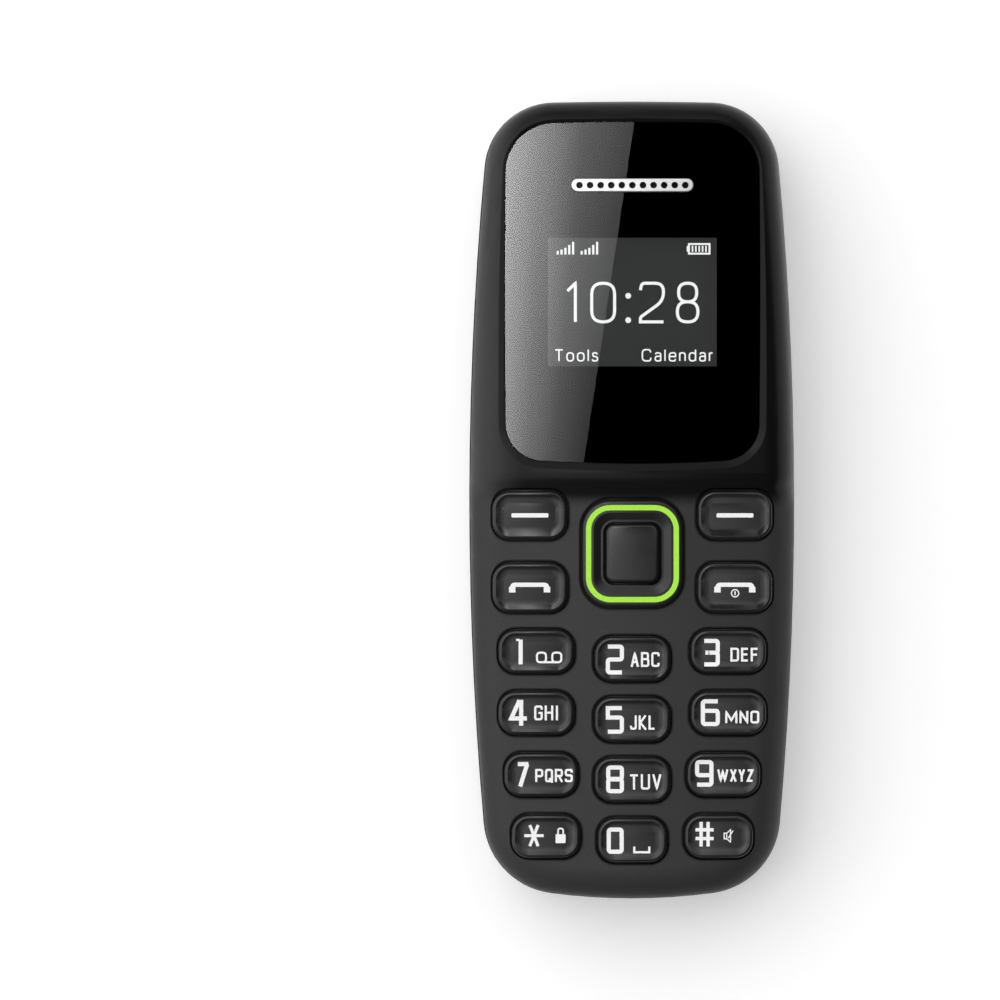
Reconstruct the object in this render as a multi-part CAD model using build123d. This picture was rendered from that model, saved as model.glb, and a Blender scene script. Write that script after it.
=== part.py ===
from build123d import *
from math import radians, sin, sqrt
import os

# A small candy-bar feature phone, lying on its back with the screen up.
# Millimetres. +Z points out of the screen, +Y towards the earpiece, +X to the right of the keypad.
# The origin is under the middle of the back cover, on the surface that the phone lies on.

# Outline of the body, seen from the front
BODY_WIDTH = 29.35
BODY_LENGTH = 72.0
SIDE_NARROW_TOP = 1.94
SIDE_NARROW_BOTTOM = 1.81
TOP_BOW = 0.27
BOTTOM_BOW = 1.50
TOP_CORNER_RADIUS = 6.3
BOTTOM_CORNER_RADIUS = 7.0
FRONT_INSET = 0.10

# Walls, and how far the edges roll over
COVER_FLOOR = 1.0
COVER_WALL = 1.1
BACK_ROLL = 4.0
FRONT_WALL = 1.1
FACE_WALL = 1.1
FRONT_ROLL = 2.7
WEB_THICKNESS = 0.8
SKIRT_WALL = 0.8
SKIRT_INSET = 1.3
SEAM_HEIGHT = 6.8
SEAM_GAP = 0.12

# The stack, from the back cover up to the rim of the window
BATTERY_GAP = 0.2
BATTERY_THICKNESS = 4.0
WEB_GAP = 0.1
BOARD_BAY = 1.3
BOARD_THICKNESS = 0.8
DOME_RISE = 0.3
POST_GAP = 0.05
KEY_TRAVEL = 0.3
MAT_LIFT = 0.8
MAT_THICKNESS = 0.5
FLANGE_UNDER_GAP = 0.2
FLANGE_THICKNESS = 0.6
FLANGE_TOP_GAP = 0.1
RIM_RISE = 0.7

WEB_Z = COVER_FLOOR + BATTERY_GAP + BATTERY_THICKNESS + WEB_GAP
WEB_TOP = WEB_Z + WEB_THICKNESS
BOARD_Z = WEB_TOP + BOARD_BAY
BOARD_TOP = BOARD_Z + BOARD_THICKNESS
DOME_TOP = BOARD_TOP + DOME_RISE
POST_Z = DOME_TOP + POST_GAP + KEY_TRAVEL
MAT_Z = BOARD_TOP + MAT_LIFT
MAT_TOP = MAT_Z + MAT_THICKNESS
FLANGE_Z = MAT_TOP + KEY_TRAVEL + FLANGE_UNDER_GAP
FACE_INNER_Z = FLANGE_Z + FLANGE_THICKNESS + FLANGE_TOP_GAP
FACE_Z = FACE_INNER_Z + FACE_WALL
RIM_Z = FACE_Z + RIM_RISE

# The slope from the window's rim down to the keypad
SLOPE_TOP_Y = BODY_LENGTH * 0.03403
SLOPE_FOOT_Y = BODY_LENGTH * -0.00486
CUT_OVERRUN = 0.5

# The window, its film and its glue
WINDOW_HALF_WIDTH = BODY_WIDTH * 0.3901
WINDOW_TOP_Y = BODY_LENGTH * 0.4718
WINDOW_BOTTOM_Y = BODY_LENGTH * 0.0457
WINDOW_SIDE_NARROW = 0.12
WINDOW_TOP_BOW = 0.25
WINDOW_BOTTOM_BOW = 0.5
WINDOW_TOP_RADIUS = 4.4
WINDOW_BOTTOM_RADIUS = 3.3
WINDOW_CLEARANCE = 0.06
WINDOW_BEVEL = 0.6
WINDOW_THICKNESS = 0.8
WINDOW_DEPTH = 0.4
FILM_THICKNESS = 0.05
GLUE_THICKNESS = 0.10
GLUE_WIDTH = 1.2
LEDGE_THICKNESS = 0.75

WINDOW_TOP = RIM_Z - WINDOW_DEPTH
WINDOW_Z = WINDOW_TOP - WINDOW_THICKNESS
FILM_Z = WINDOW_Z - FILM_THICKNESS
LEDGE_TOP = FILM_Z - GLUE_THICKNESS
LEDGE_Z = LEDGE_TOP - LEDGE_THICKNESS
LEDGE_END_Y = BODY_LENGTH * 0.02222

# The display and what holds it
DISPLAY_Y = BODY_LENGTH * 0.24722
DISPLAY_WIDTH = BODY_WIDTH * 0.5172
DISPLAY_HEIGHT = BODY_LENGTH * 0.16056
DISPLAY_MARGIN = 0.5
PANEL_WIDTH = BODY_WIDTH * 0.68143
PANEL_HEIGHT = BODY_LENGTH * 0.21389
PANEL_THICKNESS = 1.5
GASKET_THICKNESS = 0.2
GASKET_WIDTH = 1.0
HOLDER_WALL = 0.5
HOLDER_CLEARANCE = 0.1
HOLDER_DROP = 0.2
FLEX_WIDTH = 8.0
FLEX_THICKNESS = 0.12
FLEX_REACH = 2.5
FLEX_FOOT = 1.3
FLEX_LIFT = 0.05

PANEL_TOP = LEDGE_Z - GASKET_THICKNESS
PANEL_Z = PANEL_TOP - PANEL_THICKNESS

# The earpiece: its pierced trim, and the small speaker behind it
EARPIECE_Y = BODY_LENGTH * 0.39306
GRILLE_LENGTH = 11.03
GRILLE_WIDTH = 1.23
GRILLE_PROUD = 0.05
GRILLE_CLEARANCE = 0.04
GRILLE_EDGE = 0.12
GRILLE_HOLE_RADIUS = 0.30
GRILLE_HOLE_PITCH = 0.951
GRILLE_HOLES = 11
SOUND_SLOT_LENGTH = 10.3
SOUND_SLOT_WIDTH = 0.8
EARPIECE_LENGTH = 11.0
EARPIECE_WIDTH = BODY_LENGTH * 0.05278
EARPIECE_ROUND = 1.2
EARPIECE_GAP = 0.1
EARPIECE_RING_WALL = 0.5
EARPIECE_RING_DEPTH = 0.3

# The keys: openings in the face, caps with a dished top, a flange below and a post to the dome
KEY_GAP = 0.19
KEY_CORNER_RADIUS = 1.75
KEY_PROUD = 0.35
KEY_EDGE = 0.25
KEY_DISH_INSET = 0.28
KEY_DISH_CURVE = 2.0
KEY_DISH_DEPTH = 0.16
KEY_FLANGE = 0.35
KEY_POST_RADIUS = 0.5
OPENING_EDGE = 0.12

SOFT_KEY_X = BODY_WIDTH * 0.3145
SOFT_KEY_Y = BODY_LENGTH * -0.01903
SOFT_KEY_WIDTH = BODY_WIDTH * 0.2409
SOFT_KEY_HEIGHT = BODY_LENGTH * 0.06514
CALL_KEY_X = BODY_WIDTH * 0.3138
CALL_KEY_Y = BODY_LENGTH * -0.10944
CALL_KEY_WIDTH = BODY_WIDTH * 0.24157
CALL_KEY_HEIGHT = BODY_LENGTH * 0.06653

NUMBER_KEY_WIDTH = BODY_WIDTH * 0.2436
SIDE_COLUMN_X = BODY_WIDTH * 0.29438
SIDE_COLUMN_STEP = BODY_WIDTH * 0.01482
SIDE_COLUMN_Y = BODY_LENGTH * -0.18917
SIDE_COLUMN_PITCH = BODY_LENGTH * 0.07694
SIDE_KEY_HEIGHT = BODY_LENGTH * 0.05903
MIDDLE_COLUMN_Y = BODY_LENGTH * -0.19861
MIDDLE_COLUMN_PITCH = BODY_LENGTH * 0.07542
MIDDLE_KEY_HEIGHT = BODY_LENGTH * 0.06083
SIDE_WIDTH_SHARES = (1.0, 1.0, 0.973, 0.912)
MIDDLE_WIDTH_SHARES = (1.005, 1.005, 1.005, 0.923)
NUMBER_KEY_ROWS = (
    ("key_1", "key_2", "key_3"),
    ("key_4", "key_5", "key_6"),
    ("key_7", "key_8", "key_9"),
    ("key_star", "key_0", "key_hash"),
)

# The navigation pad, which rocks, its coloured ring, and the select key inside it
NAV_Y = BODY_LENGTH * -0.06694
NAV_WIDTH = BODY_WIDTH * 0.32164
NAV_HEIGHT = BODY_LENGTH * 0.13861
NAV_CORNER_RADIUS = 2.75
NAV_TILT_DEGREES = 1.5
NAV_PROUD = 0.40
NAV_EDGE = 0.30
NAV_FLANGE = 0.30
NAV_FLANGE_THICKNESS = 0.45
NAV_FLANGE_UNDER_GAP = 0.25
NAV_ARM = 3.75
NAV_POST_RADIUS = 0.45
TRIM_WIDTH = BODY_WIDTH * 0.28484
TRIM_HEIGHT = BODY_LENGTH * 0.12139
TRIM_CORNER_RADIUS = 2.2
TRIM_LINE = 0.48
TRIM_DEPTH = 0.30
TRIM_PROUD = 0.06
TRIM_CLEARANCE = 0.02
OK_WIDTH = BODY_WIDTH * 0.17956
OK_HEIGHT = BODY_LENGTH * 0.07944
OK_CORNER_RADIUS = 1.0
OK_SINK = 0.45
OK_PROUD = 0.20
OK_EDGE = 0.35
OK_FLANGE = 0.35
OK_FLANGE_CLEARANCE = 0.2
GIMBAL_OUTER = 6.0
GIMBAL_INNER = 4.4
GIMBAL_THICKNESS = 0.4
GIMBAL_CORNER_RADIUS = 1.0

NAV_FLANGE_Z = MAT_TOP + NAV_FLANGE_UNDER_GAP
NAV_TOP = FACE_Z + NAV_PROUD
NAV_POST_DIP = (NAV_ARM + NAV_POST_RADIUS) * sin(radians(NAV_TILT_DEGREES))
NAV_POST_Z = DOME_TOP + POST_GAP + NAV_POST_DIP
OK_TOP = NAV_TOP - OK_SINK + OK_PROUD

# The board and what is mounted on it
BOARD_CLEARANCE = 0.2
DOME_RADIUS = 1.2
DOME_METAL = 0.06
DOME_SHEET_THICKNESS = 0.06
DOME_HOLE_CLEARANCE = 0.15
MAT_MARGIN = 0.3
MAT_END_Y = BODY_LENGTH * 0.01667
MAT_HOLE_CLEARANCE = 0.15
MAT_FOOT_RADIUS = 0.5
MAT_FOOT_GAP = 0.04
LED_LENGTH = 1.6
LED_WIDTH = 0.8
LED_HEIGHT = 0.5
LED_UPPER = (BODY_WIDTH * 0.1516, BODY_LENGTH * -0.23611)
LED_LOWER = (BODY_WIDTH * 0.1448, BODY_LENGTH * -0.38889)
MAT_FOOT_UPPER = (BODY_WIDTH * 0.3816, BODY_LENGTH * -0.15278)
MAT_FOOT_LOWER = (BODY_WIDTH * 0.1465, BODY_LENGTH * -0.31111)
CAN_WIDTH = BODY_WIDTH * 0.6133
CAN_HEIGHT = BODY_LENGTH * 0.18056
CAN_DEPTH = 1.0
CAN_Y = BODY_LENGTH * 0.28056
CAN_WALL = 0.15
CHIP_SIZE = 7.5
CHIP_DEPTH = 0.7
CHIP_SPACING = BODY_WIDTH * 0.1465
MEMORY_CHIP_WIDTH = BODY_WIDTH * 0.20443
SIM_WIDTH = BODY_WIDTH * 0.51107
SIM_HEIGHT = BODY_LENGTH * 0.16667
SIM_DEPTH = 1.15
SIM_SHEET = 0.15
SIM_UPPER_Y = BODY_LENGTH * 0.00833
SIM_LOWER_Y = BODY_LENGTH * -0.18611
SIM_WINDOW_MARGIN = 1.5
CARD_WIDTH = BODY_WIDTH * 0.40886
CARD_HEIGHT = BODY_LENGTH * 0.09722
CARD_Y = BODY_LENGTH * -0.33889
PORT_WIDTH = 7.4
PORT_DEPTH = BODY_LENGTH * 0.06944
PORT_HEIGHT = 2.5
PORT_ROUND = 0.8
PORT_SHEET = 0.3
PORT_RECESS = BODY_LENGTH * 0.00972
PORT_SINK = 1.1
PORT_CLEARANCE = 0.2
PORT_TONGUE_WIDTH = 4.6
PORT_TONGUE_THICKNESS = 0.6
MIC_RADIUS = BODY_LENGTH * 0.025
MIC_HEIGHT = 0.95
MIC_X = BODY_WIDTH * 0.1874
MIC_END_GAP = 3.6
MIC_Y = MIC_RADIUS + MIC_END_GAP - BODY_LENGTH / 2
MIC_PORT_RADIUS = 0.4

# The battery and its contacts
BATTERY_WIDTH = BODY_WIDTH * 0.74957
BATTERY_LENGTH = BODY_LENGTH * 0.47222
BATTERY_TOP_Y = BODY_LENGTH * 0.15278
BATTERY_CAP = 0.8
BATTERY_ROUND = 1.2
BATTERY_CLEARANCE = 0.15
BATTERY_RIB = 0.7
RIB_SINK = 0.4
TERMINAL_WIDTH = 1.6
TERMINAL_HEIGHT = 1.6
TERMINAL_DEPTH = 0.3
TERMINAL_PITCH = 2.5
TERMINALS = 3
CONTACT_GAP = 0.4
CONTACT_WIDTH = 8.0
CONTACT_DEPTH = 1.8
CONTACT_FOOT_Z = 2.6
SPRING_WIDTH = 0.8
SPRING_HEIGHT = 1.0
SPRING_GAP = 0.05
FIT = 0.03

# The loudspeaker behind its two slots, and the vibration motor
SPEAKER_RADIUS = BODY_LENGTH * 0.09028
SPEAKER_Y = BODY_LENGTH * 0.35625
SPEAKER_THICKNESS = 3.3
SPEAKER_BASKET = 0.8
SPEAKER_CONE_DEPTH = 0.5
SPEAKER_CLEARANCE = 0.1
SPEAKER_RING = 0.7
SLOT_LENGTH = 8.0
SLOT_WIDTH = 1.4
SLOT_SPACING = 2.7
SLOT_EDGE = 0.15
MESH_WIDTH = 10.0
MESH_HEIGHT = 6.2
MESH_THICKNESS = 0.2
FOAM_WIDTH = 1.2
FOAM_GAP = 0.05
MOTOR_RADIUS = 1.75
MOTOR_GAP = 0.2
MOTOR_LENGTH = 8.0
MOTOR_X = -6.5
MOTOR_Y = BODY_LENGTH * 0.225
MOTOR_SHAFT_RADIUS = 0.35
MOTOR_SHAFT_REACH = 2.9
WEIGHT_RADIUS = 1.65
WEIGHT_LENGTH = 2.3
WEIGHT_GAP = 0.4
WEIGHT_BORE_CLEARANCE = 0.02
WEIGHT_HUB_RADIUS = 0.75
CRADLE_WALL = 0.6
CRADLE_THICKNESS = 1.2

# Screws and the posts that they hold
SCREW_HEAD_RADIUS = 1.2
SCREW_HEAD_HEIGHT = 0.55
SCREW_RADIUS = 0.7
SCREW_GRIP = 3.4
SCREW_CLEARANCE = 0.02
SCREW_SOCKET_RADIUS = 0.45
SCREW_SOCKET_DEPTH = 0.3
BOSS_RADIUS = 1.7
BOSS_RISE = 0.75
POST_RADIUS = 1.3
POST_CLEARANCE = 0.15
UPPER_SCREW = (BODY_WIDTH * 0.3339, BODY_LENGTH * 0.43056)
MIDDLE_SCREW = (BODY_WIDTH * 0.39523, BODY_LENGTH * 0.04097)
SKIRT_RISE = 0.4
SKIRT_LIFT = 0.4
BOARD_LEDGE = 0.8

# The aerial, a plate under the web at the foot of the phone
AERIAL_WIDTH = BODY_WIDTH * 0.5792
AERIAL_HEIGHT = BODY_LENGTH * 0.08333
AERIAL_Y = BODY_LENGTH * -0.41111
AERIAL_THICKNESS = 0.15
AERIAL_SLIT = 1.0
AERIAL_TRACK = 1.8

SKIRT_TOP = BOARD_TOP + SKIRT_RISE
BOSS_TOP = WEB_TOP + BOSS_RISE
NAV_PLACE = (0, NAV_Y)


def bowed_face(half_width, top, bottom, narrow, bow, radius, inset):
    """A face with four bowed sides and round corners. The pairs give first the top, then the bottom."""
    half_width, top, bottom = half_width - inset, top - inset, bottom + inset
    middle = (top + bottom) / 2
    top_x, top_y = half_width - narrow[0], top - bow[0]
    low_x, low_y = half_width - narrow[1], bottom + bow[1]
    right = ThreePointArc((low_x, low_y), (half_width, middle), (top_x, top_y))
    over = ThreePointArc((top_x, top_y), (0, top), (-top_x, top_y))
    left = ThreePointArc((-top_x, top_y), (-half_width, middle), (-low_x, low_y))
    under = ThreePointArc((-low_x, low_y), (0, bottom), (low_x, low_y))
    face = make_face([right, over, left, under]).faces()[0]
    upper = [v for v in face.vertices() if v.Y > middle]
    face = face.fillet_2d(radius[0] - inset, upper)
    lower = [nearest_corner(face, side * low_x, low_y) for side in (1, -1)]
    return face.fillet_2d(radius[1] - inset, lower)


def nearest_corner(face, x, y):
    return min(face.vertices(), key=lambda v: (v.X - x) ** 2 + (v.Y - y) ** 2)


def body_face(inset):
    """The phone's outline, drawn in by the inset."""
    narrow = (SIDE_NARROW_TOP, SIDE_NARROW_BOTTOM)
    bow = (TOP_BOW, BOTTOM_BOW)
    radius = (TOP_CORNER_RADIUS, BOTTOM_CORNER_RADIUS)
    return bowed_face(BODY_WIDTH / 2, BODY_LENGTH / 2, -BODY_LENGTH / 2, narrow, bow, radius, inset)


def window_face(inset):
    """The window's outline, drawn in by the inset, or let out by a negative one."""
    narrow = (WINDOW_SIDE_NARROW, WINDOW_SIDE_NARROW)
    bow = (WINDOW_TOP_BOW, WINDOW_BOTTOM_BOW)
    radius = (WINDOW_TOP_RADIUS, WINDOW_BOTTOM_RADIUS)
    return bowed_face(WINDOW_HALF_WIDTH, WINDOW_TOP_Y, WINDOW_BOTTOM_Y, narrow, bow, radius, inset)


def slab(face, low, high):
    """A flat face pulled up from one height to another."""
    return extrude(Pos(0, 0, low) * face, amount=high - low, dir=(0, 0, 1))


def pad_face(place, width, height, radius, inset=0):
    """A rectangle with round corners, drawn in by the inset."""
    flat = RectangleRounded(width - 2 * inset, height - 2 * inset, radius - inset)
    return Pos(*place) * flat


def pad(place, width, height, radius, low, high, inset=0):
    return slab(pad_face(place, width, height, radius, inset), low, high)


def block(place, width, height, low, high):
    return slab(Pos(*place) * Rectangle(width, height), low, high)


def rod(place, radius, low, high):
    return slab(Pos(*place) * Circle(radius), low, high)


def bar(place, length, width, low, high):
    """An upright bar whose plan is a slot with round ends, lying along X."""
    return slab(Pos(*place) * SlotOverall(length, width), low, high)


def flare(low_face, low, high_face, high):
    """A sloped solid from one face up to another of the same make."""
    return loft([Pos(0, 0, low) * low_face, Pos(0, 0, high) * high_face], ruled=True)


def top_edges(solid):
    return solid.edges().group_by(Axis.Z)[-1]


def low_edges(solid):
    return solid.edges().group_by(Axis.Z)[0]


def both_sides(place):
    """A place and its mirror across the middle."""
    x, y = place
    return [(x, y), (-x, y)]


def number_keys():
    """Each number key's name, with the place and size of its opening in the face."""
    keys = {}
    for row, names in enumerate(NUMBER_KEY_ROWS):
        side_x = SIDE_COLUMN_X - SIDE_COLUMN_STEP * max(0, row - 1)
        side_y = SIDE_COLUMN_Y - SIDE_COLUMN_PITCH * row
        middle_y = MIDDLE_COLUMN_Y - MIDDLE_COLUMN_PITCH * row
        side_width = NUMBER_KEY_WIDTH * SIDE_WIDTH_SHARES[row]
        middle_width = NUMBER_KEY_WIDTH * MIDDLE_WIDTH_SHARES[row]
        keys[names[0]] = ((-side_x, side_y), side_width, SIDE_KEY_HEIGHT)
        keys[names[1]] = ((0, middle_y), middle_width, MIDDLE_KEY_HEIGHT)
        keys[names[2]] = ((side_x, side_y), side_width, SIDE_KEY_HEIGHT)
    return keys


def all_keys():
    """Every key that slides in the face, with the place and size of its opening."""
    keys = {
        "left_soft_key": ((-SOFT_KEY_X, SOFT_KEY_Y), SOFT_KEY_WIDTH, SOFT_KEY_HEIGHT),
        "right_soft_key": ((SOFT_KEY_X, SOFT_KEY_Y), SOFT_KEY_WIDTH, SOFT_KEY_HEIGHT),
        "call_key": ((-CALL_KEY_X, CALL_KEY_Y), CALL_KEY_WIDTH, CALL_KEY_HEIGHT),
        "end_key": ((CALL_KEY_X, CALL_KEY_Y), CALL_KEY_WIDTH, CALL_KEY_HEIGHT),
    }
    keys.update(number_keys())
    return keys


KEYS = all_keys()
SCREWS = both_sides(UPPER_SCREW) + both_sides(MIDDLE_SCREW)
NAV_POSTS = [(NAV_ARM, NAV_Y), (-NAV_ARM, NAV_Y), (0, NAV_Y + NAV_ARM), (0, NAV_Y - NAV_ARM)]
DOMES = [place for place, _, _ in KEYS.values()] + NAV_POSTS + [NAV_PLACE]
LEDS = both_sides(LED_UPPER) + both_sides(LED_LOWER)
BATTERY_Y = BATTERY_TOP_Y - BATTERY_LENGTH / 2
BATTERY_Z = COVER_FLOOR + BATTERY_GAP
MOTOR_Z = WEB_Z - MOTOR_GAP - MOTOR_RADIUS
CONTACT_Y = BATTERY_TOP_Y + CONTACT_GAP + CONTACT_DEPTH / 2
PORT_Y = BODY_LENGTH / 2 - PORT_RECESS - PORT_DEPTH / 2
PORT_Z = BOARD_Z - PORT_SINK


def front_outside():
    """The front's outside: flat under the keypad, higher round the window, with rolled edges."""
    solid = slab(body_face(FRONT_INSET), SEAM_HEIGHT + SEAM_GAP, RIM_Z) & side_profile()
    edges = [e for e in solid.edges() if rolls_over(e)]
    return fillet(edges, FRONT_ROLL)


def rolls_over(edge):
    """Whether an edge runs round the outline at the level of the keypad, the slope or the rim."""
    low = edge.bounding_box().min
    on_middle = edge.bounding_box().size.X > BODY_WIDTH / 2 and abs(low.Y) < BODY_WIDTH
    return low.Z > FACE_INNER_Z and not on_middle


def side_profile():
    """A block as wide as the phone whose top steps up to the window's rim in two soft curves."""
    x, end = -BODY_WIDTH, BODY_LENGTH
    foot, head = (x, SLOPE_FOOT_Y, FACE_Z), (x, SLOPE_TOP_Y, RIM_Z)
    middle = (x, (SLOPE_FOOT_Y + SLOPE_TOP_Y) / 2, (FACE_Z + RIM_Z) / 2)
    lines = [
        Polyline(head, (x, end, RIM_Z), (x, end, 0), (x, -end, 0), (x, -end, FACE_Z), foot),
        TangentArc(foot, middle, tangent=(0, 1, 0)),
        TangentArc(head, middle, tangent=(0, -1, 0)),
    ]
    return extrude(make_face(lines), amount=2 * BODY_WIDTH, dir=(1, 0, 0))


def front_hollow():
    """The space inside the front: lower under the window's ledge than under the keypad."""
    inner = body_face(FRONT_INSET + FRONT_WALL)
    under_window = slab(inner, SEAM_HEIGHT, LEDGE_Z)
    keypad_end = LEDGE_END_Y + BODY_LENGTH / 2
    keypad_middle = LEDGE_END_Y - keypad_end / 2
    keypad = block((0, keypad_middle), BODY_WIDTH, keypad_end, LEDGE_Z, FACE_INNER_Z)
    return under_window + (slab(inner, LEDGE_Z, FACE_INNER_Z) & keypad)


def window_seat():
    """The bevelled recess that the window lies in, with the display's and the earpiece's openings."""
    outline = window_face(-WINDOW_CLEARANCE)
    run = WINDOW_BEVEL / WINDOW_DEPTH
    top = window_face(-WINDOW_CLEARANCE - WINDOW_BEVEL - CUT_OVERRUN * run)
    bevel = flare(outline, WINDOW_TOP, top, RIM_Z + CUT_OVERRUN)
    seat = slab(outline, LEDGE_TOP, WINDOW_TOP)
    width = DISPLAY_WIDTH + 2 * DISPLAY_MARGIN
    height = DISPLAY_HEIGHT + 2 * DISPLAY_MARGIN
    display = block((0, DISPLAY_Y), width, height, LEDGE_Z, LEDGE_TOP)
    sound = bar((0, EARPIECE_Y), SOUND_SLOT_LENGTH, SOUND_SLOT_WIDTH, LEDGE_Z, LEDGE_TOP)
    return [seat, bevel, display, sound]


def key_opening(place, width, height, radius):
    """An opening in the face with a fine bevel round its edge, cut straight up through the slope."""
    hole = pad(place, width, height, radius, FACE_INNER_Z, FACE_Z)
    edge_low = pad_face(place, width, height, radius)
    edge_high = pad_face(place, width, height, radius, -OPENING_EDGE)
    edge = flare(edge_low, FACE_Z - OPENING_EDGE, edge_high, FACE_Z)
    return [hole, edge, slab(edge_high, FACE_Z, RIM_Z)]


def front_housing():
    shell = front_outside() - front_hollow()
    posts = [rod(place, POST_RADIUS, BOSS_TOP + SEAM_GAP, LEDGE_Z) for place in SCREWS]
    shell = shell + posts
    cuts = window_seat()
    for place, width, height in KEYS.values():
        cuts += key_opening(place, width, height, KEY_CORNER_RADIUS)
    cuts += key_opening(NAV_PLACE, NAV_WIDTH, NAV_HEIGHT, NAV_CORNER_RADIUS)
    tip = WEB_Z + SCREW_HEAD_HEIGHT + SCREW_GRIP + POST_CLEARANCE
    pilot = SCREW_RADIUS + SCREW_CLEARANCE
    cuts += [rod(place, pilot, BOSS_TOP, tip) for place in SCREWS]
    cuts += [port_opening(), microphone_hole()]
    return shell - cuts


def port_opening():
    """The charging port's way through the walls at the top end."""
    width = PORT_WIDTH + 2 * PORT_CLEARANCE
    reach = PORT_RECESS + PORT_DEPTH + PORT_CLEARANCE
    low, high = PORT_Z - PORT_CLEARANCE, PORT_Z + PORT_HEIGHT + PORT_CLEARANCE
    return block((0, BODY_LENGTH / 2), width, 2 * reach, low, high)


def microphone_hole():
    """A fine hole along Y through the bottom end, level with the gap over the seam."""
    middle = SEAM_HEIGHT + SEAM_GAP + MIC_PORT_RADIUS * 2
    start = Pos(MIC_X, -BODY_LENGTH / 2, middle) * Rot(-90, 0, 0)
    length = BODY_LENGTH / 2 + MIC_Y - MIC_RADIUS
    return start * extrude(Circle(MIC_PORT_RADIUS), amount=length, dir=(0, 0, 1))


def skirt_block(inset, low, high, roll):
    """A block with the phone's outline whose lower edge follows the back's rolled edge."""
    solid = slab(body_face(inset), low, high)
    return fillet(low_edges(solid), roll)


def sound_slots():
    """The places of the two slots in the back."""
    return [(0, SPEAKER_Y + side * SLOT_SPACING / 2) for side in (1, -1)]


def back_cover():
    shell = skirt_block(0, 0, SEAM_HEIGHT, BACK_ROLL)
    inner = skirt_block(COVER_WALL, COVER_FLOOR, SEAM_HEIGHT, BACK_ROLL - COVER_WALL)
    cuts = [inner, port_opening()]
    for place in sound_slots():
        cuts.append(bar(place, SLOT_LENGTH, SLOT_WIDTH, 0, COVER_FLOOR))
        wide = Pos(*place) * SlotOverall(SLOT_LENGTH + 2 * SLOT_EDGE, SLOT_WIDTH + 2 * SLOT_EDGE)
        narrow = Pos(*place) * SlotOverall(SLOT_LENGTH, SLOT_WIDTH)
        cuts.append(flare(wide, 0, narrow, SLOT_EDGE))
    return shell - cuts


def speaker_mesh():
    """The plate behind the slots, fixed to the inside of the back cover."""
    high = COVER_FLOOR + MESH_THICKNESS
    return pad((0, SPEAKER_Y), MESH_WIDTH, MESH_HEIGHT, SLOT_WIDTH, COVER_FLOOR, high)


def rear_housing():
    """The chassis: a skirt inside both shells, and a web that carries the board and the battery."""
    low = COVER_FLOOR + SKIRT_LIFT
    roll = BACK_ROLL - SKIRT_INSET
    outer = skirt_block(SKIRT_INSET, low, SKIRT_TOP, roll)
    inner = body_face(SKIRT_INSET + SKIRT_WALL)
    ledge = body_face(SKIRT_INSET + SKIRT_WALL + BOARD_LEDGE)
    hollows = [slab(inner, low, WEB_Z), slab(ledge, WEB_TOP, BOARD_Z), slab(inner, BOARD_Z, SKIRT_TOP)]
    chassis = outer - hollows
    chassis = chassis + [battery_rib(), speaker_ring(), motor_cradle()]
    chassis = chassis + [rod(place, BOSS_RADIUS, WEB_TOP, BOSS_TOP) for place in SCREWS]
    return (chassis & outer) - rear_housing_cuts()


def battery_rib():
    """The wall round the battery, below the web."""
    low = BATTERY_Z + RIB_SINK
    place = (0, BATTERY_Y)
    hole = (BATTERY_WIDTH + 2 * BATTERY_CLEARANCE, BATTERY_LENGTH + 2 * BATTERY_CLEARANCE)
    wall = 2 * BATTERY_RIB
    outside = block(place, hole[0] + wall, hole[1] + wall, low, WEB_Z)
    return outside - block(place, *hole, low, WEB_Z)


def speaker_ring():
    """The ring below the web that the loudspeaker sits in."""
    low = COVER_FLOOR + MESH_THICKNESS + SKIRT_LIFT
    inside = SPEAKER_RADIUS + SPEAKER_CLEARANCE
    place = (0, SPEAKER_Y)
    return rod(place, inside + SPEAKER_RING, low, WEB_Z) - rod(place, inside, low, WEB_Z)


def motor_cradle():
    """Two forks below the web that hold the vibration motor's can."""
    width = 2 * (MOTOR_RADIUS + CRADLE_WALL)
    ends = (MOTOR_X + CRADLE_THICKNESS, MOTOR_X + MOTOR_LENGTH - CRADLE_THICKNESS)
    forks = [block((x, MOTOR_Y), CRADLE_THICKNESS, width, MOTOR_Z, WEB_Z) for x in ends]
    return Compound(forks) - motor_can(FIT)


def rear_housing_cuts():
    """Every opening in the chassis."""
    shaft = SCREW_RADIUS + 2 * SCREW_CLEARANCE
    head = SCREW_HEAD_RADIUS + POST_CLEARANCE / 2
    post = POST_RADIUS + POST_CLEARANCE
    head_top = WEB_Z + SCREW_HEAD_HEIGHT
    cuts = [port_opening(), microphone_hole()]
    for place in SCREWS:
        cuts.append(rod(place, shaft, WEB_Z, BOSS_TOP))
        cuts.append(rod(place, head, COVER_FLOOR, head_top))
        cuts.append(rod(place, post, BOSS_TOP, SKIRT_TOP))
    window = (SIM_WIDTH - 2 * SIM_WINDOW_MARGIN, SIM_HEIGHT - 2 * SIM_WINDOW_MARGIN)
    for y in (SIM_UPPER_Y, SIM_LOWER_Y):
        cuts.append(block((0, y), *window, WEB_Z, WEB_TOP))
    card = (CARD_WIDTH - 2 * SIM_WINDOW_MARGIN, CARD_HEIGHT - 2 * SIM_WINDOW_MARGIN)
    cuts.append(block((0, CARD_Y), *card, WEB_Z, WEB_TOP))
    room = 2 * BATTERY_CLEARANCE
    contact = (CONTACT_WIDTH + room, CONTACT_DEPTH + room + CONTACT_GAP)
    cuts.append(block((0, CONTACT_Y - CONTACT_GAP / 2), *contact, CONTACT_FOOT_Z, WEB_TOP))
    return cuts


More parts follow.
